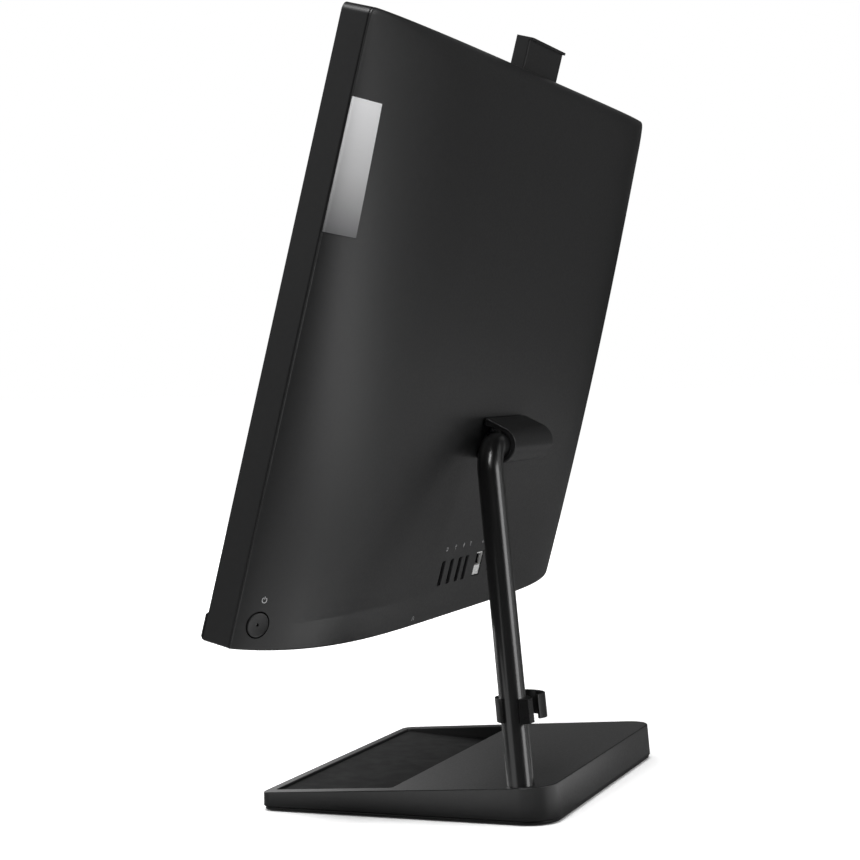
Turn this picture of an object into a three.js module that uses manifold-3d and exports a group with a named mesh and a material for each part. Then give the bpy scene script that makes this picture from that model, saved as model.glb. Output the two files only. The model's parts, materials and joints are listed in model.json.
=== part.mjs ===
// All-in-one desktop computer on a bent pipe stand.
// Millimetres, +Z up. X runs along the screen's width, the screen faces -Y, Z = 0 is the desk.
// The screen's parts are modelled upright in a group of their own and leaned back together:
// in that group x is across the screen, y is depth behind the front face, z is height up the screen.

import * as THREE from 'three';
import { mergeVertices } from 'three/addons/utils/BufferGeometryUtils.js';
import Module from 'manifold-3d';

// ---------------------------------------------------------------- driving dimensions

const gap = 0.3;
const screen = { width: 541, height: 343, rimDepth: 16, corner: 5, wall: 2.2, tiltBack: 15 };
const view = { halfWidth: 263.8, bottom: 39.3, top: 336.2 };
const cover = { crown: 51.4, wall: 2.4, lip: 0.8 };
const hinge = {
  y: 37.7, z: 218.7, height: 115.5, depth: 63.5,
  outer: 11.8, bore: 8.4, near: 44, far: -34,
};
const pipe = {
  radius: 8, wall: 1.8, bend: 22,
  footX: 110, footY: 70.3, footZ: 21.9, bendX: 62.5, endX: 39.7,
};
const base = { width: 243, depth: 185, front: 11.4, back: 23.3, backIn: 1.7, bottom: 2.8, wall: 2.2 };
const tray = { halfWidth: 112, y0: -86, y1: -10.1, frontFloor: 10.4, rearFloor: 6.9, mat: 1 };
const foot = { radius: 8, height: 2.4, inset: 22 };
const camera = { halfWidth: 34.4, y0: 11.8, y1: 21.35, top: 363.4, length: 42.4, lip: 1.8, lipHeight: 1.5 };
const button = { x: 259.3, height: 14.3, radius: 6.8, thickness: 5, slope: 28 };
const badge = { x0: 251, x1: 270.3, z0: 225.5, z1: 296.4, thickness: 0.6 };
const ports = { z0: 23.2, z1: 37.6, face: 50.3 };
const board = { y0: 26, thickness: 1.6 };
const fan = { x: 150, z: 235, y0: 21, y1: 33.8, radius: 39, rotor: 31 };
const clip = { height: 13.7, along: 0.217, bore: 8.3, outer: 10.4, mouthFrom: -26, mouthTo: 38 };
const hook = { x: -19.1, y: 2.05, outer: 11.8, bore: 10, from: 56, to: 335 };

const halfWidth = screen.width / 2;
const boardTop = board.y0 + board.thickness;

// ---------------------------------------------------------------- solids and booleans

const kernel = await Module();
kernel.setup();

function toSolid(geometry) {
  const bare = new THREE.BufferGeometry();
  bare.setAttribute('position', geometry.getAttribute('position'));
  if (geometry.index) bare.setIndex(geometry.index);
  const merged = mergeVertices(bare);
  const corners = [];
  const index = merged.index.array;
  for (let i = 0; i < index.length; i += 3) {
    const [a, b, c] = [index[i], index[i + 1], index[i + 2]];
    if (a !== b && b !== c && c !== a) corners.push(a, b, c);
  }
  return new kernel.Manifold(new kernel.Mesh({
    numProp: 3,
    vertProperties: new Float32Array(merged.getAttribute('position').array),
    triVerts: new Uint32Array(corners),
  }));
}

function toGeometry(solid) {
  const mesh = solid.getMesh();
  const geometry = new THREE.BufferGeometry();
  geometry.setAttribute('position', new THREE.BufferAttribute(mesh.vertProperties, 3));
  geometry.setIndex(new THREE.BufferAttribute(mesh.triVerts, 1));
  return geometry;
}

function cut(body, ...tools) {
  let solid = toSolid(body);
  for (const tool of tools) solid = solid.subtract(toSolid(tool));
  return toGeometry(solid);
}

function join(...pieces) {
  let solid = toSolid(pieces[0]);
  for (const piece of pieces.slice(1)) solid = solid.add(toSolid(piece));
  return toGeometry(solid);
}

function overlap(first, second) {
  return toGeometry(toSolid(first).intersect(toSolid(second)));
}

// ---------------------------------------------------------------- basic shapes

function block(x0, x1, y0, y1, z0, z1) {
  const geometry = new THREE.BoxGeometry(x1 - x0, y1 - y0, z1 - z0);
  return geometry.translate((x0 + x1) / 2, (y0 + y1) / 2, (z0 + z1) / 2);
}

function polygon(points) {
  return new THREE.Shape(points.map(([x, y]) => new THREE.Vector2(x, y)));
}

// Rectangle with its own radius at each end: r0 on the low-y corners, r1 on the high-y corners.
function roundedRect(x0, x1, y0, y1, r0, r1 = r0) {
  const shape = new THREE.Shape();
  shape.moveTo(x0 + r0, y0);
  shape.lineTo(x1 - r0, y0);
  shape.absarc(x1 - r0, y0 + r0, r0, -Math.PI / 2, 0, false);
  shape.lineTo(x1, y1 - r1);
  shape.absarc(x1 - r1, y1 - r1, r1, 0, Math.PI / 2, false);
  shape.lineTo(x0 + r1, y1);
  shape.absarc(x0 + r1, y1 - r1, r1, Math.PI / 2, Math.PI, false);
  shape.lineTo(x0, y0 + r0);
  shape.absarc(x0 + r0, y0 + r0, r0, Math.PI, Math.PI * 1.5, false);
  return shape;
}

function circle(x, y, radius) {
  return new THREE.Shape().absarc(x, y, radius, 0, Math.PI * 2, false);
}

function extrude(shape, depth, curveSegments) {
  return new THREE.ExtrudeGeometry(shape, { depth, bevelEnabled: false, curveSegments });
}

// A shape drawn in plan (x, y), standing from z0 to z1.
function prism(shape, z0, z1, curveSegments = 4) {
  return extrude(shape, z1 - z0, curveSegments).translate(0, 0, z0);
}

// A shape drawn as seen from the front (x, z), from depth y0 to depth y1.
function plate(shape, y0, y1, curveSegments = 4) {
  return extrude(shape, y1 - y0, curveSegments).rotateX(Math.PI / 2).translate(0, y1, 0);
}

// A shape drawn as seen from the side (y, z), from x0 to x1.
function bar(shape, x0, x1, curveSegments = 4) {
  const turn = new THREE.Matrix4().makeBasis(
    new THREE.Vector3(0, 1, 0),
    new THREE.Vector3(0, 0, 1),
    new THREE.Vector3(1, 0, 0),
  );
  return extrude(shape, x1 - x0, curveSegments).applyMatrix4(turn).translate(x0, 0, 0);
}

function depthRod(x, z, radius, y0, y1, sides = 20) {
  const geometry = new THREE.CylinderGeometry(radius, radius, y1 - y0, sides);
  return geometry.translate(x, (y0 + y1) / 2, z);
}

function uprightRod(x, y, radius, z0, z1, sides = 20) {
  const geometry = new THREE.CylinderGeometry(radius, radius, z1 - z0, sides);
  return geometry.rotateX(Math.PI / 2).translate(x, y, (z0 + z1) / 2);
}

function crossRod(y, z, radius, x0, x1, sides = 20) {
  const geometry = new THREE.CylinderGeometry(radius, radius, x1 - x0, sides);
  return geometry.rotateZ(Math.PI / 2).translate((x0 + x1) / 2, y, z);
}

// Closed solid between two depth functions over a grid of x and z values.
function quilt(xs, zs, front, back) {
  const columns = xs.length;
  const rows = zs.length;
  const points = [];
  for (const depthAt of [back, front]) {
    for (const z of zs) {
      for (const x of xs) points.push(x, depthAt(x, z), z);
    }
  }
  const frontStart = columns * rows;
  const at = (i, j) => j * columns + i;
  const index = [];
  const quad = (a, b, c, d) => index.push(a, b, c, a, c, d);
  for (let j = 0; j < rows - 1; j++) {
    for (let i = 0; i < columns - 1; i++) {
      const ring = [at(i, j), at(i + 1, j), at(i + 1, j + 1), at(i, j + 1)];
      quad(ring[0], ring[3], ring[2], ring[1]);
      quad(...ring.map((k) => k + frontStart));
    }
  }
  const rim = [];
  for (let i = 0; i < columns - 1; i++) rim.push(at(i, 0));
  for (let j = 0; j < rows - 1; j++) rim.push(at(columns - 1, j));
  for (let i = columns - 1; i > 0; i--) rim.push(at(i, rows - 1));
  for (let j = rows - 1; j > 0; j--) rim.push(at(0, j));
  rim.forEach((a, k) => {
    const b = rim[(k + 1) % rim.length];
    quad(a, b, b + frontStart, a + frontStart);
  });
  const geometry = new THREE.BufferGeometry();
  geometry.setAttribute('position', new THREE.Float32BufferAttribute(points, 3));
  geometry.setIndex(index);
  return geometry;
}

function steps(from, to, count) {
  return Array.from({ length: count + 1 }, (_, k) => from + ((to - from) * k) / count);
}

// ---------------------------------------------------------------- materials and the tree

function finish(color, roughness, metalness = 0) {
  return () => new THREE.MeshStandardMaterial({ color, roughness, metalness });
}

const look = {
  satinBlack: finish(0x26272a, 0.55),
  coverBlack: finish(0x303234, 0.6),
  pipeBlack: finish(0x141516, 0.25),
  trayBlack: finish(0x1d1e1f, 0.8),
  rubber: finish(0x151515, 0.9),
  steel: finish(0x9fa3a8, 0.4, 0.9),
  brushed: finish(0xb9bbbd, 0.35, 0.9),
  copper: finish(0xb87346, 0.3, 0.9),
  glass: finish(0x0a0b0d, 0.08),
  diffuser: finish(0xe6e8ea, 0.6),
  circuit: finish(0x1f4a33, 0.5),
  chip: finish(0x18181a, 0.5),
  nylon: finish(0xd8d6cc, 0.5),
};

const part = new THREE.Group();
const display = new THREE.Group();
const lean = THREE.MathUtils.degToRad(screen.tiltBack);
display.rotation.x = -lean;
display.position.set(
  0,
  hinge.y - hinge.height * Math.sin(lean) - hinge.depth * Math.cos(lean),
  hinge.z - hinge.height * Math.cos(lean) + hinge.depth * Math.sin(lean),
);
part.add(display);

function add(group, name, geometry, material) {
  const mesh = new THREE.Mesh(geometry, material());
  mesh.name = name;
  group.add(mesh);
  return mesh;
}

// ---------------------------------------------------------------- rear cover

// How far the cover stands behind the rim plane. It is flat across the middle, falls to the sides
// on a superellipse, thins towards the top and rolls over at the top edge.
function bulge(x, z) {
  const side = Math.min(1, Math.abs(x) / halfWidth);
  const across = Math.max(0, 1 - side ** 4.6) ** 0.8;
  const crown = cover.crown - screen.rimDepth - 1.68 * (Math.abs(z - 68) / 100) ** 2.16;
  const rollHeight = 22;
  const into = Math.min(1, Math.max(0, (z - screen.height + rollHeight) / rollHeight));
  const roll = 0.38 + 0.62 * (1 - into ** 2.5) ** 0.4;
  return crown * roll * across ** Math.sqrt(roll);
}

const coverSurface = (x, z) => screen.rimDepth + Math.max(cover.lip, bulge(x, z));

// Grid lines that crowd towards the sides and the top, where the cover curves most.
function coverGrid(half, bottom, top, columns, rows) {
  const xs = steps(-1, 1, columns).map((t) => half * Math.sin((t * Math.PI) / 2));
  const straight = steps(bottom, top - 26, rows - 5);
  const rolled = steps(0, 1, 5).slice(1).map((t) => top - 26 * (1 - t) ** 1.6);
  return [xs, [...straight, ...rolled]];
}

function coverOuter() {
  const [xs, zs] = coverGrid(halfWidth, 0, screen.height, 28, 14);
  const pillow = quilt(xs, zs, () => screen.rimDepth, coverSurface);
  const outline = roundedRect(-halfWidth, halfWidth, 0, screen.height, 0.5, screen.corner);
  return overlap(pillow, plate(outline, 0, 60, 2));
}

function coverCavity() {
  const half = halfWidth - cover.wall;
  const top = screen.height - cover.wall;
  const [xs, zs] = coverGrid(half, cover.wall, top, 24, 12);
  const stretch = screen.height / (top - cover.wall);
  const inner = (x, z) => {
    const outside = bulge((x * halfWidth) / half, (z - cover.wall) * stretch);
    return screen.rimDepth - 1 + Math.max(0, outside + 1 - cover.wall);
  };
  return quilt(xs, zs, () => screen.rimDepth - 2, inner);
}

const slotWindows = [
  { name: 'video_port', x: 56.8, width: 6 },
  { name: 'usb_port_1', x: 41.4, width: 6.2 },
  { name: 'usb_port_2', x: 26.4, width: 6.2 },
  { name: 'usb_port_3', x: 13.6, width: 6.2 },
];
const lan = { x: -11.8, width: 14, z0: 22.6, z1: 38.6, mouthHalf: 5.85, mouthBottom: 29.3 };
const inlet = { x: -36, z: 29, radius: 5.4 };
const jack = { x: 85, y: 33, radius: 3.2 };
const ventPitch = 6;
const ventCentres = [-150, 150];
const coverScrews = [-225, -95, 112, 232];
const screwDepth = 30;

function portWindows() {
  const windows = slotWindows.map(({ x, width }) => {
    return block(x - width / 2, x + width / 2, 40, 60, ports.z0 - 0.6, ports.z1 + 0.6);
  });
  windows.push(block(lan.x - lan.width / 2, lan.x + lan.width / 2, 40, 60, lan.z0, lan.z1));
  windows.push(depthRod(inlet.x, inlet.z, inlet.radius + 0.4, 40, 60, 24));
  return windows;
}

function bottomVents() {
  const vents = [];
  for (const centre of ventCentres) {
    for (const k of steps(-5.5, 5.5, 11)) {
      const x = centre + k * ventPitch;
      vents.push(block(x - 1.2, x + 1.2, 21, 35, -1, cover.wall + 1));
    }
  }
  return vents;
}

function buttonFrame(geometry) {
  const turn = THREE.MathUtils.degToRad(-button.slope);
  const depth = coverSurface(button.x, button.height);
  return geometry.rotateZ(turn).translate(button.x, depth, button.height);
}

function badgePatch(front, back, margin) {
  const xs = steps(badge.x0 - margin, badge.x1 + margin, 6);
  const zs = steps(badge.z0 - margin, badge.z1 + margin, 5);
  return quilt(xs, zs, (x, z) => coverSurface(x, z) + front, (x, z) => coverSurface(x, z) + back);
}

function rearCover() {
  const { y0, y1, lip, lipHeight } = camera;
  const slotHalf = camera.halfWidth + 0.5;
  const screwHoles = coverScrews.flatMap((x) => [
    uprightRod(x, screwDepth, 3.4, -1, 1.2, 16),
    uprightRod(x, screwDepth, 1.9, -1, 5, 10),
  ]);
  return cut(
    coverOuter(),
    coverCavity(),
    ...portWindows(),
    ...bottomVents(),
    ...screwHoles,
    uprightRod(jack.x, jack.y, jack.radius, -1, 5, 16),
    buttonFrame(depthRod(0, 0, button.radius + 0.4, -9, 5, 24)),
    badgePatch(-badge.thickness, 4, gap),
    block(-slotHalf, slotHalf, y0 - 0.4, y1 + gap, 330, 350),
    block(-slotHalf, slotHalf, y0 - 0.4, y1 + lip + gap, screen.height - lipHeight - 0.2, 350),
    block(-30, 30, 40, 56, 105, 126),
  );
}

// ---------------------------------------------------------------- front of the screen

function frontBezel() {
  const depth = screen.rimDepth - gap;
  const outline = roundedRect(-halfWidth, halfWidth, 0, screen.height, 1.5, screen.corner);
  const inside = halfWidth - screen.wall;
  return cut(
    plate(outline, 0, depth, 2),
    block(-inside, inside, 1.8, 30, screen.wall, screen.height - screen.wall),
    block(-view.halfWidth, view.halfWidth, -1, 3, view.bottom, view.top),
    block(-262, 262, -1, 3, 4, 12),
    block(-camera.halfWidth - 0.5, camera.halfWidth + 0.5, camera.y0 - 0.4, 20, 330, 350),
  );
}

// The low bar under the picture. It stands proud of the bezel and hides the speakers behind slots.
function speakerBar() {
  const nose = bar(polygon([[-gap, 0.4], [-gap, 15.6], [-1.4, 14.2], [-1.4, 2.3]]), -270.2, 270.2);
  const slots = [-1, 1].flatMap((side) => steps(150, 238, 8).map((x) => {
    return block(side * x - 3.6, side * x + 3.6, -3, 5, 7.4, 8.8);
  }));
  return cut(join(nose, block(-261.7, 261.7, -0.6, 3.5, 4.3, 11.7)), ...slots);
}

function lcdGlass() {
  return block(-266, 266, 2.1, 3.3, 37.5, 338);
}

function backlightUnit() {
  return block(-266.4, 266.4, 3.6, 8.4, 36.5, 339);
}

function lcdRearTray() {
  const hollow = block(-267.1, 267.1, 0, 9, 36, 339.6);
  return cut(block(-267.9, 267.9, 2.4, 9.7, 35.2, 340.3), hollow);
}

function midFrame() {
  const sheet = block(-262, 262, 10.4, 11.3, 22, 334);
  const stiffener = block(-230, 230, 10.4, 15.4, 22, 23);
  const windows = [-190, -105, 105, 190].map((x) => {
    return plate(roundedRect(x - 32, x + 32, 200, 300, 8), 5, 20, 2);
  });
  return cut(join(sheet, stiffener), ...windows);
}

// ---------------------------------------------------------------- pop-up camera

function cameraModule() {
  const { halfWidth: half, y0, y1, top, length, lip, lipHeight } = camera;
  const capBottom = top - lipHeight;
  const body = prism(roundedRect(-half, half, y0, y1, 1.2), top - length, capBottom + 0.5, 2);
  const cap = prism(roundedRect(-half, half, y0, y1 + lip, 1.2), capBottom, top, 2);
  const microphones = [-14, 14].map((x) => depthRod(x, top - 10, 0.8, y0 - 1, y0 + 1.5, 8));
  return cut(join(body, cap), depthRod(0, top - 10, 5.2, y0 - 1, y0 + 2.2, 24), ...microphones);
}

function cameraLens() {
  return depthRod(0, camera.top - 10, 4.8, camera.y0 + 0.4, camera.y0 + 1.9, 24);
}

function cameraGuide() {
  const channel = block(-camera.halfWidth - 0.5, camera.halfWidth + 0.5, 10, camera.y1 + 0.45, 290, 345);
  return cut(block(-39, 39, camera.y0, 24.4, 296, 337.5), channel);
}

// ---------------------------------------------------------------- tilt hinge

// Housing wall seen from the side: a flat top plate that runs onto a round back and a flat underside.
// The side towards the cover is open.
function housingProfile() {
  const { depth: y, height: z, outer, bore } = hinge;
  const face = cover.crown + gap;
  const lip = THREE.MathUtils.degToRad(78);
  const shape = new THREE.Shape();
  shape.moveTo(face, z - outer);
  shape.lineTo(y, z - outer);
  shape.absarc(y, z, outer, -Math.PI / 2, lip, false);
  shape.lineTo(face, z + outer + 2.6);
  shape.lineTo(face, z + bore + 2);
  shape.absarc(y, z, bore, lip, -Math.PI / 2, true);
  shape.lineTo(face, z - bore);
  return shape;
}

function housingOutline() {
  const { depth: y, height: z, outer } = hinge;
  const shape = new THREE.Shape();
  shape.moveTo(cover.crown + gap, z - outer);
  shape.absarc(y, z, outer, -Math.PI / 2, THREE.MathUtils.degToRad(78), false);
  shape.lineTo(cover.crown + gap, z + outer + 2.6);
  return shape;
}

function hingeHousing() {
  const shell = bar(housingProfile(), hinge.far, hinge.near, 8);
  const cap = bar(housingOutline(), hinge.far, hinge.far + 3.4, 8);
  return join(shell, cap);
}

// A hat-shaped pressing on the mid frame. Two ears reach back through the cover to the shaft.
function hingeBracket() {
  const hat = bar(polygon([
    [11.8, 62], [11.8, 78], [44.4, 78], [44.4, 153], [11.8, 153], [11.8, 169],
    [13.8, 169], [13.8, 155], [46.4, 155], [46.4, 76], [13.8, 76], [13.8, 62],
  ]), -40, 40);
  const ears = [-20, 20].flatMap((x) => [
    crossRod(hinge.depth, hinge.height, 7.9, x - 1.5, x + 1.5, 24),
    block(x - 1.5, x + 1.5, 46, hinge.depth, hinge.height - 7, hinge.height + 7),
  ]);
  return cut(join(hat, ...ears), crossRod(hinge.depth, hinge.height, 6.5, -25, 25, 24));
}

function sleeve(x0, x1, outer, inner) {
  const profile = [[inner, x0], [outer, x0], [outer, x1], [inner, x1], [inner, x0]];
  const ring = new THREE.LatheGeometry(profile.map(([r, x]) => new THREE.Vector2(r, x)), 24);
  return ring.rotateZ(-Math.PI / 2).translate(0, hinge.depth, hinge.height);
}

function hingeShaft() {
  const end = pipe.endX - 0.5;
  const profile = [[0, -27.6], [4.5, -27.6], [4.5, 27], [5.8, 27], [5.8, end], [0, end]];
  const spindle = new THREE.LatheGeometry(profile.map(([r, x]) => new THREE.Vector2(r, x)), 24);
  return spindle.rotateZ(-Math.PI / 2);
}

function hexNut() {
  const hexagon = new THREE.CylinderGeometry(7.4, 7.4, 3.2, 6).rotateZ(Math.PI / 2).translate(-24.4, 0, 0);
  return cut(hexagon, crossRod(0, 0, 4.8, -30, -20, 24));
}

// ---------------------------------------------------------------- badge, button and ports

function powerButton() {
  const cap = depthRod(0, 0, button.radius, -button.thickness, 0.3, 32);
  return buttonFrame(cut(cap, depthRod(0, 0, 0.6, -1, 1, 8)));
}

function powerSwitchBoard() {
  const sheet = block(238, 261, 14.2, 15.6, 5, 24);
  return join(sheet, block(250, 254, 15, 18.2, 12, 16.6));
}

// A receptacle seen from behind: a metal shell with a deep mouth and a tongue in the middle.
function slotPort(x, width, z0, z1, tongue) {
  const half = width / 2 - 0.4;
  const shell = block(x - half, x + half, boardTop + gap, ports.face, z0, z1);
  const mouth = block(x - half + 0.5, x + half - 0.5, ports.face - 12, 60, z0 + 0.6, z1 - 0.6);
  const blade = block(x - tongue / 2, x + tongue / 2, ports.face - 12.5, ports.face - 1, z0 + 2, z1 - 2);
  return join(cut(shell, mouth), blade);
}

// The network socket: its mouth is in the upper half, over a plain metal face.
function lanPort() {
  const half = lan.width / 2 - 0.4;
  const { x, z0, z1, mouthHalf, mouthBottom } = lan;
  const shell = block(x - half, x + half, boardTop + gap, ports.face, z0 + 0.4, z1 - 0.4);
  const mouth = block(x - mouthHalf, x + mouthHalf, ports.face - 13, 60, mouthBottom, z1 - 1.2);
  return cut(shell, mouth);
}

function dcJack() {
  const shell = depthRod(inlet.x, inlet.z, inlet.radius, boardTop + gap, ports.face, 24);
  const mouth = depthRod(inlet.x, inlet.z, 3.2, ports.face - 10, 60, 20);
  return join(cut(shell, mouth), depthRod(inlet.x, inlet.z, 0.9, ports.face - 10.5, ports.face - 1, 10));
}

function audioJack() {
  const body = block(jack.x - 4.5, jack.x + 4.5, boardTop + gap, jack.y + 4.5, 2.8, 16);
  return cut(body, uprightRod(jack.x, jack.y, 1.8, 0, 14, 16));
}

// ---------------------------------------------------------------- electronics

function mainBoard() {
  const outline = polygon([[-60, 17], [224, 17], [224, 190], [48, 190], [48, 58], [-60, 58]]);
  const holes = [[-52, 50], [66, 52], [214, 24], [214, 182], [56, 182]];
  return cut(plate(outline, board.y0, boardTop), ...holes.map(([x, z]) => depthRod(x, z, 1.9, 20, 30, 10)));
}

function coldPlate() {
  return plate(roundedRect(84, 124, 85, 125, 4), boardTop + 0.8, boardTop + 3.6, 2);
}

function heatPipe() {
  const y = boardTop + 6.4;
  const low = fan.y0 + 1.4;
  const route = new THREE.CatmullRomCurve3([
    new THREE.Vector3(104, y, 90),
    new THREE.Vector3(104, y, 140),
    new THREE.Vector3(104, y, 186),
    new THREE.Vector3(104, low, 212),
    new THREE.Vector3(104, low, 262),
    new THREE.Vector3(116, low, 281),
    new THREE.Vector3(140, low, 284),
    new THREE.Vector3(184, low, 284),
  ]);
  return new THREE.ExtrudeGeometry(circle(0, 0, 2.4), { steps: 30, extrudePath: route, curveSegments: 4 });
}

function finStack() {
  const plateY = fan.y0 + 4.2;
  const fins = steps(124, 184, 12).map((x) => block(x - 0.5, x + 0.5, plateY + 0.5, fan.y1, 277.5, 290.5));
  return join(block(122, 186, plateY, plateY + 1.2, 277.5, 290.5), ...fins);
}

function fanHousing() {
  const { x, z, y0, y1, radius } = fan;
  const drum = depthRod(x, z, radius, y0, y1, 40);
  const duct = block(x - 26, x + radius - 3, y0, y1, z, 277);
  const chamber = depthRod(x, z, radius - 3, y0 + 1.5, y1 - 1.5, 40);
  const throat = block(x - 24, x + radius - 5, y0 + 1.5, y1 - 1.5, z + 12, 280);
  const inlet = depthRod(x, z, 23, y1 - 3, y1 + 2, 32);
  return cut(join(drum, duct), chamber, throat, inlet);
}

function fanRotor() {
  const { x, z, y0, y1, rotor } = fan;
  const hub = depthRod(0, 0, 13, y0 + 2.2, y1 - 2.2, 24);
  const blades = steps(0, 14, 14).slice(1).map((k) => {
    const blade = block(12, rotor, y0 + 2.6, y1 - 2.6, -0.5, 0.5);
    return blade.rotateY((k * Math.PI * 2) / 14);
  });
  return join(hub, ...blades).translate(x, 0, z);
}

function memoryModule(z) {
  const sheet = block(146, 213.6, boardTop + 1.6, boardTop + 2.8, z, z + 30);
  const chips = steps(152, 196, 3).map((x) => block(x, x + 11, boardTop + 2.6, boardTop + 4, z + 8, z + 22));
  return join(sheet, ...chips);
}

function cardModule(x0, x1, z0, z1, chipHeight) {
  const sheet = block(x0, x1, boardTop + 1.4, boardTop + 2.2, z0, z1);
  const chip = block(x0 + 5, x0 + 17, boardTop + 2, boardTop + 2 + chipHeight, z0 + 4, z1 - 4);
  return join(sheet, chip);
}

function hardDrive() {
  return plate(roundedRect(-215, -115, 60, 129.8, 3), 14.4, 23.9, 2);
}

function driveCaddy() {
  const hollow = block(-215.5, -114.5, 14.1, 30, 59.5, 130.3);
  return cut(block(-218, -112, 12, 22, 57, 132.8), hollow);
}

function speakerBox(side) {
  const [x0, x1] = side > 0 ? [150, 232] : [-232, -150];
  const centre = (x0 + x1) / 2;
  const horn = plate(roundedRect(centre - 12, centre + 12, 5.6, 17.4, 5.8), 0, 6, 6);
  return cut(block(x0, x1, 4.2, 9.6, 3.4, 21), horn.translate(0, -0.5, 0));
}

function coverScrew(x) {
  return join(uprightRod(x, screwDepth, 3, 0.2, 1, 16), uprightRod(x, screwDepth, 1.5, 0.6, 10, 8));
}

// ---------------------------------------------------------------- base

function topAt(y) {
  const share = (y + base.depth / 2) / (base.depth - base.backIn);
  return base.front + share * (base.back - base.front);
}

function baseOutline(inset) {
  const x = base.width / 2 - inset;
  const y = base.depth / 2 - inset;
  return roundedRect(-x, x, -y, y, Math.max(1, 7 - inset), 20 - inset);
}

function baseShell() {
  const y = base.depth / 2;
  const wedge = bar(polygon([
    [-y, base.bottom], [y, base.bottom], [y - base.backIn, base.back], [-y, base.front],
  ]), -150, 150);
  const floorDrop = base.wall;
  const hollow = bar(polygon([
    [-88, 0], [88, 0], [88, topAt(88) - floorDrop], [-7.5, topAt(-7.5) - floorDrop],
    [-7.5, 3.6], [-10, 3.6], [-88, 7],
  ]), -150, 150);
  const recess = bar(polygon([
    [tray.y0, 40], [tray.y0, tray.frontFloor - 1.3], [tray.y1, tray.rearFloor - 1.3], [tray.y1, 40],
  ]), -tray.halfWidth, tray.halfWidth);
  return cut(
    overlap(prism(baseOutline(0), 0, 40, 5), wedge),
    overlap(prism(baseOutline(base.wall), 0, 40, 4), hollow),
    recess,
    pipeCylinder(pipe.radius + 0.4, -4, 30),
  );
}

function trayMat() {
  const { halfWidth: half, y0, y1, frontFloor, rearFloor, mat } = tray;
  return bar(polygon([
    [y0 + gap, frontFloor - mat], [y1 - gap, rearFloor - mat], [y1 - gap, rearFloor], [y0 + gap, frontFloor],
  ]), -half + gap, half - gap);
}

const feet = [];
for (const x of [-1, 1]) {
  for (const y of [-1, 1]) {
    feet.push([x * (base.width / 2 - foot.inset), y * (base.depth / 2 - foot.inset)]);
  }
}
const baseScrews = [[0, -60], [-60, 78], [60, 78]];

function bottomCover() {
  return cut(
    prism(baseOutline(1), 0.9, base.bottom - gap, 5),
    ...feet.map(([x, y]) => uprightRod(x, y, foot.radius + 0.4, 0, 5, 24)),
    ...baseScrews.map(([x, y]) => uprightRod(x, y, 3.4, 0, 5, 12)),
  );
}

function rubberFoot(x, y) {
  const { radius, height } = foot;
  const profile = [[0, 0], [radius - 0.6, 0], [radius, 0.6], [radius, height], [0, height]];
  const disc = new THREE.LatheGeometry(profile.map(([r, z]) => new THREE.Vector2(r, z)), 24);
  return disc.rotateX(Math.PI / 2).translate(x, y, 0);
}

function baseScrew(x, y) {
  return join(uprightRod(x, y, 3, 1.2, 2.4, 12), uprightRod(x, y, 1.5, 2, 3.3, 8));
}

function weightPlate() {
  return prism(roundedRect(-104, 70, -4, 84, 12), 3.4, 9.4, 3);
}

function footFlange() {
  return prism(roundedRect(78, 117.4, 54, 87, 5, 16), 12.6, 16.4, 3);
}

function flangeScrew(x, y) {
  return uprightRod(x, y, 3, 9.8, 12.3, 12);
}

// ---------------------------------------------------------------- stand pipe and cable clip

const pipeFoot = new THREE.Vector3(pipe.footX, pipe.footY, pipe.footZ);
const pipeCorner = new THREE.Vector3(pipe.bendX, hinge.y, hinge.z);
const pipeUp = pipeCorner.clone().sub(pipeFoot).normalize();

// A cylinder on the pipe's straight axis, between two distances up from the foot.
function pipeCylinder(radius, from, to) {
  const rod = new THREE.CylinderGeometry(radius, radius, to - from, 28).rotateX(Math.PI / 2);
  rod.translate(0, 0, (from + to) / 2);
  rod.applyQuaternion(new THREE.Quaternion().setFromUnitVectors(new THREE.Vector3(0, 0, 1), pipeUp));
  return rod.translate(pipeFoot.x, pipeFoot.y, pipeFoot.z);
}

// The pipe climbs straight from the base, then turns on one arc into the hinge axis.
function pipeRoute() {
  const inward = new THREE.Vector3(-1, 0, 0);
  const turn = pipeUp.angleTo(inward);
  const reach = pipe.bend * Math.tan(turn / 2);
  const start = pipeCorner.clone().addScaledVector(pipeUp, -reach);
  const side = inward.clone().addScaledVector(pipeUp, -inward.dot(pipeUp)).normalize();
  const centre = start.clone().addScaledVector(side, pipe.bend);
  const points = [pipeFoot.clone().addScaledVector(pipeUp, -3), pipeFoot.clone().addScaledVector(pipeUp, 80)];
  for (const angle of steps(0, turn, 8)) {
    const point = centre.clone();
    point.addScaledVector(side, -pipe.bend * Math.cos(angle));
    point.addScaledVector(pipeUp, pipe.bend * Math.sin(angle));
    points.push(point);
  }
  points.push(new THREE.Vector3(pipe.endX, hinge.y, hinge.z));
  return points;
}

// A round tube swept through the route's points, with its rings turned so that they don't twist.
function standPipe() {
  const points = pipeRoute();
  return cut(
    sweep(points, pipe.radius, 24),
    sweep(points, pipe.radius - pipe.wall, 16, 1),
  );
}

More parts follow.
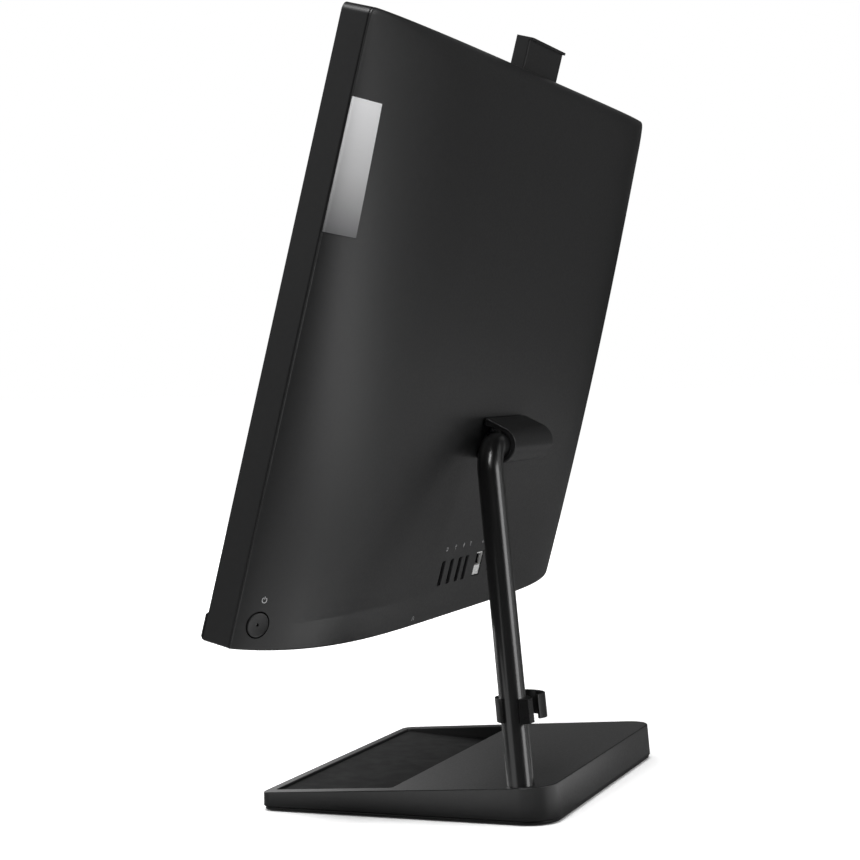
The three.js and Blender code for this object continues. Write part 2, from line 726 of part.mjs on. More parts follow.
function sweep(points, radius, sides, over = 0) {
  const rings = [];
  const axis = new THREE.Vector3();
  const first = points[1].clone().sub(points[0]).normalize();
  const normal = new THREE.Vector3(0, 1, 0).addScaledVector(first, -first.y).normalize();
  points.forEach((point, i) => {
    const before = points[Math.max(0, i - 1)];
    const after = points[Math.min(points.length - 1, i + 1)];
    const next = after.clone().sub(before).normalize();
    if (i > 0) normal.applyQuaternion(new THREE.Quaternion().setFromUnitVectors(axis, next)).normalize();
    axis.copy(next);
    const end = i === 0 ? -over : i === points.length - 1 ? over : 0;
    const binormal = axis.clone().cross(normal);
    for (let k = 0; k < sides; k++) {
      const angle = (k * Math.PI * 2) / sides;
      const spot = point.clone().addScaledVector(axis, end);
      spot.addScaledVector(normal, radius * Math.cos(angle));
      spot.addScaledVector(binormal, radius * Math.sin(angle));
      rings.push(spot.x, spot.y, spot.z);
    }
  });
  const index = [];
  const last = points.length - 1;
  for (let i = 0; i < last; i++) {
    for (let k = 0; k < sides; k++) {
      const a = i * sides + k;
      const b = i * sides + ((k + 1) % sides);
      index.push(a, b, b + sides, a, b + sides, a + sides);
    }
  }
  for (let k = 1; k < sides - 1; k++) {
    index.push(0, k + 1, k);
    index.push(last * sides, last * sides + k, last * sides + k + 1);
  }
  const geometry = new THREE.BufferGeometry();
  geometry.setAttribute('position', new THREE.Float32BufferAttribute(rings, 3));
  geometry.setIndex(index);
  return geometry;
}

// An arc of even wall between two angles, in degrees.
function arcWall(x, y, outer, bore, from, to) {
  const [start, end] = [from, to].map(THREE.MathUtils.degToRad);
  const shape = new THREE.Shape();
  shape.absarc(x, y, outer, start, end, false);
  shape.absarc(x, y, bore, end, start, true);
  return shape;
}

// The thumb pad fills out the ring beside its mouth.
function thumbPad() {
  const inside = clip.outer - 1;
  const [near, far] = [clip.mouthTo + 1, clip.mouthTo + 80].map(THREE.MathUtils.degToRad);
  const rim = [[8.9, 6.4], [7, 11.6], [-0.2, 12.2], [-5.2, 8.6]];
  const shape = new THREE.Shape(rim.map(([x, y]) => new THREE.Vector2(x, y)));
  shape.absarc(0, 0, inside, far, near, true);
  return shape;
}

// A spring ring with its mouth to the near side and a wide hook for the cables behind it.
// It is drawn square to the pipe, and its two end faces are level with the desk.
function cableClip() {
  const half = clip.height / 2 / pipeUp.z;
  const ring = arcWall(0, 0, clip.outer, clip.bore, clip.mouthTo, 360 + clip.mouthFrom);
  const arm = arcWall(hook.x, hook.y, hook.outer, hook.bore, hook.from, hook.to);
  const solid = join(
    prism(ring, -half, half, 10),
    prism(arm, -half, half, 10),
    prism(thumbPad(), -half, half, 6),
  );
  const level = new THREE.Matrix4();
  level.makeShear(0, pipeUp.x / pipeUp.z, 0, pipeUp.y / pipeUp.z, 0, 0);
  return solid.applyMatrix4(level);
}

// ---------------------------------------------------------------- assembly

add(part, 'base_shell', baseShell(), look.satinBlack);
add(part, 'tray_mat', trayMat(), look.trayBlack);
add(part, 'base_weight_plate', weightPlate(), look.steel);
add(part, 'base_bottom_cover', bottomCover(), look.satinBlack);
feet.forEach(([x, y], i) => add(part, `rubber_foot_${i + 1}`, rubberFoot(x, y), look.rubber));
baseScrews.forEach(([x, y], i) => add(part, `base_screw_${i + 1}`, baseScrew(x, y), look.steel));
add(part, 'stand_pipe', standPipe(), look.pipeBlack);
add(part, 'pipe_foot_flange', footFlange(), look.steel);
add(part, 'flange_screw_1', flangeScrew(86, 60), look.steel);
add(part, 'flange_screw_2', flangeScrew(86, 80), look.steel);

const hingeLine = new THREE.Group();
hingeLine.position.set(0, hinge.y, hinge.z);
part.add(hingeLine);
add(hingeLine, 'hinge_shaft', hingeShaft(), look.steel);
add(hingeLine, 'hinge_lock_nut', hexNut(), look.steel);

const clipPlace = new THREE.Group();
clipPlace.position.lerpVectors(pipeFoot, pipeCorner, clip.along);
clipPlace.quaternion.setFromUnitVectors(new THREE.Vector3(0, 0, 1), pipeUp);
part.add(clipPlace);
add(clipPlace, 'cable_clip', cableClip(), look.satinBlack);

add(display, 'rear_cover', rearCover(), look.coverBlack);
add(display, 'front_bezel', frontBezel(), look.satinBlack);
add(display, 'speaker_bar', speakerBar(), look.satinBlack);
add(display, 'lcd_glass', lcdGlass(), look.glass);
add(display, 'backlight_unit', backlightUnit(), look.diffuser);
add(display, 'lcd_rear_tray', lcdRearTray(), look.steel);
add(display, 'mid_frame', midFrame(), look.steel);
add(display, 'hinge_housing', hingeHousing(), look.coverBlack);
add(display, 'hinge_bracket', hingeBracket(), look.steel);
add(display, 'hinge_bush_near', sleeve(18.3, 21.7, 6.2, 4.8), look.nylon);
add(display, 'hinge_bush_far', sleeve(-21.7, -18.3, 6.2, 4.8), look.nylon);
add(display, 'badge_plate', badgePatch(-gap, gap, 0), look.brushed);
add(display, 'power_button', powerButton(), look.satinBlack);
add(display, 'power_switch_board', powerSwitchBoard(), look.circuit);
add(display, 'camera_module', cameraModule(), look.satinBlack);
add(display, 'camera_lens', cameraLens(), look.glass);
add(display, 'camera_guide', cameraGuide(), look.nylon);
add(display, 'main_board', mainBoard(), look.circuit);
add(display, 'processor_cold_plate', coldPlate(), look.copper);
add(display, 'heat_pipe', heatPipe(), look.copper);
add(display, 'fin_stack', finStack(), look.copper);
add(display, 'fan_housing', fanHousing(), look.chip);
add(display, 'fan_rotor', fanRotor(), look.chip);
add(display, 'memory_module_1', memoryModule(28), look.circuit);
add(display, 'memory_module_2', memoryModule(64), look.circuit);
add(display, 'storage_card', cardModule(120, 200, 130, 152, 1.4), look.circuit);
add(display, 'wireless_card', cardModule(60, 90, 140, 162, 1), look.circuit);
add(display, 'hard_drive', hardDrive(), look.steel);
add(display, 'drive_caddy', driveCaddy(), look.nylon);
add(display, 'speaker_left', speakerBox(-1), look.chip);
add(display, 'speaker_right', speakerBox(1), look.chip);
for (const { name, x, width } of slotWindows) {
  add(display, name, slotPort(x, width, ports.z0, ports.z1, name === 'video_port' ? 1.2 : 1.8), look.steel);
}
add(display, 'lan_port', lanPort(), look.steel);
add(display, 'dc_jack', dcJack(), look.chip);
add(display, 'audio_jack', audioJack(), look.chip);
coverScrews.forEach((x, i) => add(display, `cover_screw_${i + 1}`, coverScrew(x), look.steel));

export default part;
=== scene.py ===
import json
import math

import bmesh
import bpy
import numpy as np
from mathutils import Matrix, Vector


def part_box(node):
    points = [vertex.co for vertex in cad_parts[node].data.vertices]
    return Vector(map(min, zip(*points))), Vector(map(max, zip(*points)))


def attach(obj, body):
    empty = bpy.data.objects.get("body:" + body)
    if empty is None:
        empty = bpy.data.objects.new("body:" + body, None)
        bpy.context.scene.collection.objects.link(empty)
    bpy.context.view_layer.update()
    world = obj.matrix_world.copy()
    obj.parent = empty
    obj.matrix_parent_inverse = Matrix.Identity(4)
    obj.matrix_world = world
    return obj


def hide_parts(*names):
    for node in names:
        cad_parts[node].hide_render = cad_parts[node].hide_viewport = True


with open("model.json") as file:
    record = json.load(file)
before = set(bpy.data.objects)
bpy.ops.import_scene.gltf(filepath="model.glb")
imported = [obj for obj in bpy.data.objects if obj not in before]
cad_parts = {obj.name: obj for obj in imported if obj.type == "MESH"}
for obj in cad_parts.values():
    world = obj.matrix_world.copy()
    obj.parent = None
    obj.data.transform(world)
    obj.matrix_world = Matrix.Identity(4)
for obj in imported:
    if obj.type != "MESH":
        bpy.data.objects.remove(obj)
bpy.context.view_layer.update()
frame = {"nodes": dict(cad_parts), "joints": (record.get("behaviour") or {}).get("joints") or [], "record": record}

# All-in-one desktop computer on a bent pipe stand. Shapes are written in millimetres, either in the
# row frame (desk at z = 0, the screen faces -Y) or in the leaned screen's own axes (x across,
# y from the front face to the back, z up the screen), and turned into metres when they are built.

# ---- where things are

MM = 0.001
GAP = 0.3  # between neighbouring pieces
FOOT_SLICE = 0.5  # of the pipe's end, to find its centre
ROW = Matrix.Identity(4)
NODES = frame["nodes"]
JOINTS = {joint["name"]: joint for joint in frame["joints"]}


def node_points(node, place=ROW):
    """The points of a CAD node in the place's own axes, in millimetres."""
    points = np.array([vertex.co for vertex in NODES[node].data.vertices])
    inverse = np.array(place.inverted())
    return (points @ inverse[:3, :3].T + inverse[:3, 3]) / MM


def node_box(node, place=None):
    """Lowest and highest corner of a CAD node, in the leaned screen's axes unless told otherwise."""
    points = node_points(node, place or SCREEN)
    return Vector(points.min(axis=0)), Vector(points.max(axis=0))


def screen_place():
    """The leaned screen's own axes, from the camera's slide and the front bezel's corner."""
    up = Vector(JOINTS["camera_slide"]["axis"]).normalized()
    across = Vector((1, 0, 0))
    turn = Matrix((across, up.cross(across), up)).transposed().to_4x4()
    low, high = node_box("front_bezel", turn)
    corner = Vector(((low.x + high.x) / 2, low.y, low.z)) * MM
    return turn @ Matrix.Translation(corner)


def pipe_place():
    """Axes at the pipe's foot, with z up the pipe's straight length."""
    up = Vector(JOINTS["clip_slide"]["axis"]).normalized()
    turn = Vector((0, 0, 1)).rotation_difference(up).to_matrix().to_4x4()
    points = node_points("stand_pipe", turn)
    foot = points[points[:, 2] < points[:, 2].min() + FOOT_SLICE]
    centre = Vector((foot.min(axis=0) + foot.max(axis=0)) / 2)
    return turn @ Matrix.Translation(centre * MM)


SCREEN = screen_place()
PIPE = pipe_place()
HINGE = SCREEN.inverted() @ Vector(JOINTS["screen_tilt"]["pos_m"]) / MM
COVER_LOW, COVER_HIGH = node_box("rear_cover")
HALF_WIDTH = COVER_HIGH.x
HEIGHT = COVER_HIGH.z
RIM = COVER_LOW.y
CORNER = 5


def middle(node, place=None):
    low, high = node_box(node, place)
    return (low + high) / 2


# ---- shapes: (points, faces)


def merged(*shapes):
    points, faces = [], []
    for more_points, more_faces in shapes:
        start = len(points)
        points += [Vector(point) for point in more_points]
        faces += [tuple(k + start for k in face) for face in more_faces]
    return points, faces


def moved(shape, matrix):
    points, faces = shape
    return [matrix @ Vector(point) for point in points], faces


def loft(rings, closed=False):
    """A closed solid through rings of equally many points. The two end rings are its end faces,
    unless the last ring runs on into the first."""
    size = len(rings[0])
    points = [point for ring in rings for point in ring]
    faces = []
    for r in range(len(rings) if closed else len(rings) - 1):
        here, after = r * size, (r + 1) % len(rings) * size
        for k in range(size):
            n = (k + 1) % size
            faces.append((here + k, here + n, after + n, after + k))
    if not closed:
        last = len(points) - size
        faces.append(tuple(reversed(range(size))))
        faces.append(tuple(range(last, last + size)))
    return points, faces


def arc(x, y, radius, start, end, steps):
    """Points of an arc, with its angles in degrees, both ends included."""
    angles = [math.radians(start + (end - start) * k / steps) for k in range(steps + 1)]
    return [(x + radius * math.cos(a), y + radius * math.sin(a)) for a in angles]


def circle(x, y, radius, sides):
    return arc(x, y, radius, 0, 360, sides)[:-1]


def rounded(x0, x1, y0, y1, radius, far_radius=None, steps=6):
    """Rectangle outline, with its own radius on the two corners at y1 where one is given."""
    far = radius if far_radius is None else far_radius
    return (
        arc(x0 + radius, y0 + radius, radius, 180, 270, steps)
        + arc(x1 - radius, y0 + radius, radius, 270, 360, steps)
        + arc(x1 - far, y1 - far, far, 0, 90, steps)
        + arc(x0 + far, y1 - far, far, 90, 180, steps)
    )


def prism(outline, low, high, plane="xy"):
    """An outline drawn in a plane and given thickness from low to high across it."""
    place = {
        "xy": lambda a, b, c: (a, b, c),
        "xz": lambda a, b, c: (a, c, b),
        "yz": lambda a, b, c: (c, a, b),
    }[plane]
    return loft([[place(a, b, c) for a, b in outline] for c in (low, high)])


def block(x0, x1, y0, y1, z0, z1):
    return prism([(x0, y0), (x1, y0), (x1, y1), (x0, y1)], z0, z1)


def upright(x0, x1, z0, z1, radius, y0, y1):
    """A rectangle with rounded corners that stands in the x-z plane, from depth y0 to depth y1."""
    return prism(rounded(x0, x1, z0, z1, radius), y0, y1, "xz")


def lathe(profile, sides, place=ROW, closed=False):
    """A turned solid about the place's z axis, from (radius, height) pairs."""
    rings = [[(x, y, height) for x, y in circle(0, 0, radius, sides)] for radius, height in profile]
    return moved(loft(rings, closed), place)


def tube_rings(points, radius, sides):
    """Rings round a path, turned along it without twisting."""
    path = [Vector(point) for point in points]
    rings = []
    direction = (path[1] - path[0]).normalized()
    normal = Vector((0, 1, 0))
    normal = (normal - direction * normal.dot(direction)).normalized()
    for k, point in enumerate(path):
        ahead = (path[min(k + 1, len(path) - 1)] - path[max(k - 1, 0)]).normalized()
        normal.rotate(direction.rotation_difference(ahead))
        direction = ahead
        side = direction.cross(normal)
        turns = [2 * math.pi * s / sides for s in range(sides)]
        rings.append([point + (normal * math.cos(t) + side * math.sin(t)) * radius for t in turns])
    return rings


# Turns a shape made about the z axis so that its axis points to +y, out of the screen's back.
FACING_BACK = Matrix.Rotation(math.radians(-90), 4, "X")


def at(x, y, z, turn=ROW):
    return Matrix.Translation((x, y, z)) @ turn


def outward(out, up):
    """A turn that points y out of a surface and z up it."""
    return Matrix((out.cross(up), out, up)).transposed().to_4x4()


# ---- building pieces


def build(name, *shapes):
    """A mesh object of closed shapes given in millimetres, with its faces pointing out."""
    points, faces = merged(*shapes)
    mesh = bpy.data.meshes.new(name)
    mesh.from_pydata([point * MM for point in points], [], faces)
    work = bmesh.new()
    work.from_mesh(mesh)
    bmesh.ops.remove_doubles(work, verts=work.verts, dist=0.001 * MM)
    bmesh.ops.recalc_face_normals(work, faces=work.faces)
    work.to_mesh(mesh)
    work.free()
    piece = bpy.data.objects.new(name, mesh)
    bpy.context.scene.collection.objects.link(piece)
    return piece


def settle(piece):
    """Applies the modifiers."""
    depsgraph = bpy.context.evaluated_depsgraph_get()
    mesh = bpy.data.meshes.new_from_object(piece.evaluated_get(depsgraph))
    piece.modifiers.clear()
    piece.data = mesh


def combine(piece, operation, tool):
    modifier = piece.modifiers.new(operation.lower(), "BOOLEAN")
    modifier.operation = operation
    modifier.solver = "EXACT"
    modifier.object = tool
    settle(piece)
    bpy.data.objects.remove(tool)


def cut(piece, *shapes):
    combine(piece, "DIFFERENCE", build("tool", *shapes))


def join(piece, *shapes):
    combine(piece, "UNION", build("tool", *shapes))


def soften(piece, width, segments=2, angle=35):
    """Rounds the edges sharper than the angle."""
    modifier = piece.modifiers.new("soften", "BEVEL")
    modifier.width = width * MM
    modifier.segments = segments
    modifier.limit_method = "ANGLE"
    modifier.angle_limit = math.radians(angle)
    settle(piece)


def fit(piece, body, slot, *nodes, place=SCREEN, sharp=32, look=None):
    """Puts a finished piece in place on its body, with its finish and the CAD nodes it stands for."""
    piece.data.shade_smooth()
    piece.data.set_sharp_from_angle(angle=math.radians(sharp))
    piece.modifiers.new("even_shading", "WEIGHTED_NORMAL").keep_sharp = True
    piece.data.materials.clear()
    piece.data.materials.append(LOOKS[look or slot])
    piece.matrix_world = place
    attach(piece, body)
    if nodes:
        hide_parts(*nodes)


# ---- materials


def tuned(node, **sockets):
    """Sets a shader node's own sockets. An underscore stands for a space."""
    for socket, value in sockets.items():
        node.inputs[socket.replace("_", " ")].default_value = value
    return node


class Surface:
    """A Principled material and the nodes that feed it. Textures are in millimetres."""

    def __init__(self, name, **sockets):
        self.material = bpy.data.materials.new(name)
        self.material.use_nodes = True
        self.nodes = self.material.node_tree.nodes
        self.links = self.material.node_tree.links
        self.shader = tuned(self.nodes["Principled BSDF"], **sockets)
        coordinate = self.nodes.new("ShaderNodeTexCoord")
        self.place = self.new("Mapping", Scale=(1 / MM,) * 3)
        self.links.new(coordinate.outputs["Object"], self.place.inputs["Vector"])

    def new(self, kind, **sockets):
        return tuned(self.nodes.new(f"ShaderNode{kind}"), **sockets)

    def located(self, kind, vector=None, **sockets):
        """A node that reads the place on the surface."""
        node = self.new(kind, **sockets)
        self.links.new(vector or self.place.outputs["Vector"], node.inputs["Vector"])
        return node

    def stretched(self, x, y, z):
        """Coordinates divided by the given lengths, for streaks and rows."""
        return self.located("Mapping", Scale=(1 / x, 1 / y, 1 / z)).outputs["Vector"]

    def noise(self, size, detail, vector=None):
        return self.located("TexNoise", vector, Scale=1 / size, Detail=detail).outputs["Fac"]

    def cells(self, size, output="Distance", feature="F1"):
        node = self.located("TexVoronoi", Scale=1 / size)
        node.feature = feature
        return node.outputs[output]

    def spread(self, value, low, high, source_low=0.3, source_high=0.7):
        node = self.new("MapRange", From_Min=source_low, From_Max=source_high, To_Min=low, To_Max=high)
        self.links.new(value, node.inputs["Value"])
        return node.outputs["Result"]

    def ramp(self, value, *stops):
        """A colour ramp through (position, colour) stops."""
        node = self.new("ValToRGB")
        elements = node.color_ramp.elements
        while len(elements) < len(stops):
            elements.new(0.5)
        for element, (position, colour) in zip(elements, stops):
            element.position = position
            element.color = (*colour, 1)
        self.links.new(value, node.inputs["Fac"])
        return node.outputs["Color"]

    def feed(self, socket, value):
        self.links.new(value, self.shader.inputs[socket])

    def bump(self, height, strength, depth):
        """Adds relief of the given depth, in millimetres, on top of the relief before it."""
        node = self.new("Bump", Strength=strength, Distance=depth * MM)
        self.links.new(height, node.inputs["Height"])
        link = next(iter(self.shader.inputs["Normal"].links), None)
        if link:
            self.links.new(link.from_socket, node.inputs["Normal"])
        self.feed("Normal", node.outputs["Normal"])


def shade(colour, factor):
    return tuple(channel * factor for channel in colour)


def clouded(surface, colour, drift, size):
    """Base colour that drifts a little lighter and darker over the given size."""
    low, high = shade(colour, 1 - drift), shade(colour, 1 + drift)
    surface.feed("Base Color", surface.ramp(surface.noise(size, 4), (0.3, low), (0.7, high)))


def uneven_gloss(surface, size, detail, low, high):
    """Roughness that wanders between two values over the given size."""
    surface.feed("Roughness", surface.spread(surface.noise(size, detail), low, high))


def moulded(name, colour, roughness, grain=0.35, relief=0.012):
    """Moulded plastic with a spark-eroded grain, faint flow marks and handling marks in its gloss."""
    surface = Surface(name)
    clouded(surface, colour, 0.06, 3)
    uneven_gloss(surface, 1.4, 4, roughness - 0.03, roughness + 0.03)
    surface.bump(surface.cells(grain), 0.35, relief)
    surface.bump(surface.noise(grain * 0.6, 2), 0.3, relief)
    return surface.material


def painted(name, colour, roughness):
    """Sprayed paint with orange peel under a clear coat, and fine dust in it."""
    surface = Surface(name, Coat_Weight=0.9, Coat_Roughness=0.2)
    clouded(surface, colour, 0.1, 30)
    uneven_gloss(surface, 9, 4, roughness - 0.02, roughness + 0.03)
    surface.bump(surface.noise(1.6, 1), 0.1, 0.01)
    surface.bump(surface.noise(0.4, 1), 0.1, 0.004)
    return surface.material


def rubber(name, colour, roughness):
    surface = Surface(name, Specular_IOR_Level=0.2)
    clouded(surface, colour, 0.12, 18)
    uneven_gloss(surface, 12, 4, roughness - 0.06, roughness + 0.06)
    surface.bump(surface.noise(0.25, 2), 0.5, 0.03)
    surface.bump(surface.cells(0.7), 0.25, 0.02)
    return surface.material


def metal(name, colour, roughness, streak=(1, 1, 1), relief=0.01):
    """Metal with fine lines drawn out along the longest of the streak's lengths."""
    surface = Surface(name, Metallic=1.0)
    lines = surface.noise(1, 3, surface.stretched(*streak))
    surface.feed("Base Color", surface.ramp(lines, (0.3, shade(colour, 0.82)), (0.7, shade(colour, 1.1))))
    uneven_gloss(surface, 6, 4, roughness - 0.05, roughness + 0.1)
    surface.bump(lines, 0.25, relief)
    return surface.material


def zinc_sheet(name):
    """Zinc-plated sheet: broad crystals that differ a little in tone and gloss."""
    surface = Surface(name, Metallic=1.0)
    crystals = surface.cells(7, "Color")
    dull, bright = (0.44, 0.45, 0.46), (0.6, 0.61, 0.62)
    surface.feed("Base Color", surface.ramp(crystals, (0.2, dull), (0.8, bright)))
    surface.feed("Roughness", surface.spread(crystals, 0.28, 0.46, 0.2, 0.8))
    surface.bump(surface.noise(0.6, 3, surface.stretched(30, 1, 1)), 0.2, 0.01)
    return surface.material


def printed_board(name):
    """Green solder mask over copper lanes, with pads and vias."""
    surface = Surface(name, Coat_Weight=0.4, Coat_Roughness=0.2)
    lanes = surface.cells(3.2, "Distance", "DISTANCE_TO_EDGE")
    mask, lane, pad = (0.012, 0.07, 0.035), (0.03, 0.15, 0.07), (0.55, 0.5, 0.36)
    stops = (0.0, pad), (0.012, lane), (0.05, lane), (0.08, mask)
    surface.feed("Base Color", surface.ramp(lanes, *stops))
    uneven_gloss(surface, 10, 3, 0.35, 0.5)
    surface.bump(lanes, 0.2, 0.03)
    return surface.material


def badge_metal(name):
    """Brushed silver plate whose base colour fades from light at its top to dark grey at its foot: a painted
    reflection of the light it mirrors.
    """
    low, high = node_box("badge_plate")
    surface = Surface(name, Metallic=0.6)
    # painted reflection: the base colour runs by height from a dark foot through mid grey to a light top
    share = surface.spread(surface.located("SeparateXYZ").outputs["Z"], 0, 1, low.z, high.z)
    foot, painted_reflection_middle, top = (0.19, 0.19, 0.195), (0.62, 0.62, 0.625), (0.97, 0.97, 0.98)
    surface.feed("Base Color", surface.ramp(share, (0.0, foot), (0.45, painted_reflection_middle), (1.0, top)))
    lines = surface.noise(1, 2, surface.stretched(60, 1, 0.1))
    surface.feed("Roughness", surface.spread(lines, 0.5, 0.58))
    surface.bump(lines, 0.12, 0.003)
    return surface.material


def display_glass(name):
    """Anti-glare film over a switched-off panel."""
    surface = Surface(name, Coat_Weight=0.6, Coat_Roughness=0.22)
    clouded(surface, (0.006, 0.0062, 0.0075), 0.05, 80)
    uneven_gloss(surface, 0.8, 3, 0.25, 0.28)
    surface.bump(surface.noise(0.12, 1), 0.06, 0.001)
    return surface.material


def dark_glass(name, colour, roughness):
    surface = Surface(name, Coat_Weight=1.0, Coat_Roughness=0.02, Specular_IOR_Level=0.6)
    clouded(surface, colour, 0.3, 3)
    uneven_gloss(surface, 5, 2, roughness, roughness + 0.04)
    return surface.material


LOOKS = {name: finish(name, *values) for name, finish, *values in (
    ("cover_plastic", moulded, (0.014, 0.0142, 0.0146), 0.4),
    ("trim_plastic", moulded, (0.014, 0.0142, 0.0146), 0.42, 0.3, 0.008),
    ("base_plastic", moulded, (0.014, 0.0142, 0.0145), 0.4, 0.35, 0.01),
    ("tray_rubber", rubber, (0.009, 0.0091, 0.0093), 0.7),
    ("foot_rubber", rubber, (0.012, 0.012, 0.012), 0.85),
    ("pipe_paint", painted, (0.011, 0.0111, 0.0114), 0.3),
    ("badge_metal", badge_metal),
    ("screen_glass", display_glass),
    ("lens_glass", dark_glass, (0.004, 0.005, 0.008), 0.04),
    ("diffuser_plastic", moulded, (0.8, 0.81, 0.82), 0.4),
    ("sheet_steel", zinc_sheet),
    ("steel_hardware", metal, (0.42, 0.43, 0.44), 0.32, (4, 0.15, 4)),
    ("nylon", moulded, (0.62, 0.61, 0.56), 0.45, 0.5, 0.01),
    ("circuit_board", printed_board),
    ("copper", metal, (0.75, 0.38, 0.24), 0.28, (0.2, 0.2, 20)),
    ("component_plastic", moulded, (0.018, 0.018, 0.019), 0.45, 0.4, 0.01),
    ("drive_alloy", metal, (0.6, 0.61, 0.62), 0.34, (30, 0.2, 0.2)),
    ("port_metal", metal, (0.78, 0.78, 0.77), 0.22, (0.3, 12, 0.3), 0.004),
    # near-black copy of the port metal for the socket shells: painted shade inside the sockets
    ("port_dark", metal, (0.05, 0.05, 0.052), 0.42, (0.3, 12, 0.3), 0.004),
    # the cable clip's darker, glossier copy of the trim plastic: the darker colour is painted shade
    ("clip_plastic", moulded, (0.006, 0.006, 0.0062), 0.3, 0.4, 0.006),
    # near-white network socket face: a painted highlight for the glare off its metal
    ("port_face", moulded, (0.9, 0.9, 0.89), 0.35, 0.5, 0.004),
    ("contact_gold", metal, (0.85, 0.62, 0.3), 0.22, (0.2, 6, 0.2), 0.003),
    ("print_grey", moulded, (0.72, 0.72, 0.73), 0.6, 0.4, 0.004),
    ("indicator", dark_glass, (0.002, 0.002, 0.002), 0.2),
)}

# ---- rear cover

# The cover is deepest at the crest. The powers and roots bend its slopes, and ROLL_LEFT is the
# share of its depth left at the very top.
LIP = 0.8
COVER_WALL = 2.4
EDGE_ROUND = 1.2
CREST = 68
CROWN = COVER_HIGH.y - RIM
THINNING, THINNING_POWER = 1.68, 2.16
SIDE_POWER, SIDE_ROOT = 4.6, 0.8
ROLL = 22
ROLL_LEFT, ROLL_POWER, ROLL_ROOT = 0.38, 2.5, 0.4
COLUMNS = 132


def cover_depth(x, z):
    """Depth of the cover's outer surface: flat across the middle, falling to the sides on a
    superellipse, thinner away from its crest and rolled over at the top edge."""
    side = min(1, abs(x) / HALF_WIDTH)
    across = max(0, 1 - side**SIDE_POWER) ** SIDE_ROOT
    crown = CROWN - THINNING * (abs(z - CREST) / 100) ** THINNING_POWER
    into = min(1, max(0, (z - HEIGHT + ROLL) / ROLL))
    roll = ROLL_LEFT + (1 - ROLL_LEFT) * (1 - into**ROLL_POWER) ** ROLL_ROOT
    return RIM + max(LIP, crown * roll * across ** math.sqrt(roll))


def surface_place(x, z):
    """Axes on the cover at (x, z): y points out of the surface and z runs up it."""
    step = 0.5
    slope_x = (cover_depth(x + step, z) - cover_depth(x - step, z)) / (2 * step)
    slope_z = (cover_depth(x, z + step) - cover_depth(x, z - step)) / (2 * step)
    out = Vector((-slope_x, 1, -slope_z)).normalized()
    up = (Vector((0, 0, 1)) - out * out.z).normalized()
    return at(x, cover_depth(x, z), z, outward(out, up))


def cover_rows():
    """Heights of the grid's rows, crowded at the bottom edge's rounding and the top roll."""
    edge = [EDGE_ROUND * (1 - math.cos(math.radians(a))) for a in (0, 22, 45, 67, 90)]
    roll_start = HEIGHT - ROLL - 4
    straight = list(np.linspace(edge[-1], roll_start, 62))[1:]
    steps, crowding = 24, 1.9
    rolled = [HEIGHT - (HEIGHT - roll_start) * (1 - k / steps) ** crowding for k in range(1, steps + 1)]
    return edge + straight + rolled


def edge_drop(z):
    """How far the bottom edge's rounding pulls the surface in at height z."""
    return EDGE_ROUND - math.sqrt(EDGE_ROUND**2 - max(0, EDGE_ROUND - z) ** 2)


def half_width_at(z):
    """Half width of the rim's outline, whose top corners are rounded."""
    into = max(0, z - (HEIGHT - CORNER))
    return HALF_WIDTH - CORNER + math.sqrt(max(0, CORNER**2 - into**2))


def cover_grid(inset):
    """Rows of points on the cover's surface, or the same distance inside it all round."""
    rows = []
    for z in cover_rows():
        half = half_width_at(z)
        row = []
        for k in range(COLUMNS + 1):
            share = math.sin(math.pi * (k / COLUMNS - 0.5))
            depth = cover_depth(share * HALF_WIDTH, z) - edge_drop(z) - inset
            height = inset + z * (HEIGHT - 2 * inset) / HEIGHT
            row.append((share * (half - inset), max(depth, RIM + 0.02), height))
        rows.append(row)
    return rows


def border(rows):
    """The outer loop of a grid of points."""
    sides = rows[1:-1]
    return [*rows[0], *(row[-1] for row in sides), *rows[-1][::-1], *(row[0] for row in sides[::-1])]


def sheet(rows):
    size = len(rows[0])
    starts = [r * size + k for r in range(len(rows) - 1) for k in range(size - 1)]
    faces = [(a, a + 1, a + size + 1, a + size) for a in starts]
    return [point for row in rows for point in row], faces


def closed_sheets(first, second, *loops):
    """Two grids of points joined border to border, through any loops between them."""
    bands, faces = loft([border(first), *loops, border(second)])
    return merged(sheet(first), sheet(second), (bands, faces[:-2]))


def cover_shell():
    """Outer and inner surfaces, joined across the rim plane."""
    outer, inner = cover_grid(0), cover_grid(COVER_WALL)
    rims = [[(x, RIM, z) for x, _, z in border(rows)] for rows in (outer, inner)]
    return closed_sheets(outer, inner, *rims)


def flared(outline_at, surface, chamfer=0.4, depth=14):
    """A hole's tool in the x-z plane, with a small chamfer where it meets the surface."""
    depths = ((-depth, 0), (-chamfer, 0), (0.05, chamfer), (5, chamfer))
    return loft([[(x, surface + y, z) for x, z in outline_at(grow)] for y, grow in depths])


def slot_hole(x, half, z0, z1):
    def outline_at(grow):
        return rounded(x - half - grow, x + half + grow, z0 - grow, z1 + grow, 0.6 + grow)

    return flared(outline_at, cover_depth(x, (z0 + z1) / 2))


PORTS = ["video_port", "usb_port_1", "usb_port_2", "usb_port_3", "lan_port"]
PORT_GAP = 0.4


def port_holes():
    """A window round each connector, with the clearance it has in the CAD."""
    holes = []
    for node in PORTS:
        low, high = node_box(node)
        half = (high.x - low.x) / 2 + PORT_GAP
        margin = PORT_GAP if node == "lan_port" else 0.6
        holes.append(slot_hole(middle(node).x, half, low.z - margin, high.z + margin))
    low, high = node_box("dc_jack")
    inlet, radius = (low + high) / 2, (high.x - low.x) / 2 + PORT_GAP
    surface = cover_depth(inlet.x, inlet.z)
    holes.append(flared(lambda grow: circle(inlet.x, inlet.z, radius + grow, 40), surface))
    return holes


VENTS = 12
VENT_CENTRE = 150
VENT_PITCH = 6
VENT_HALF = 1.2


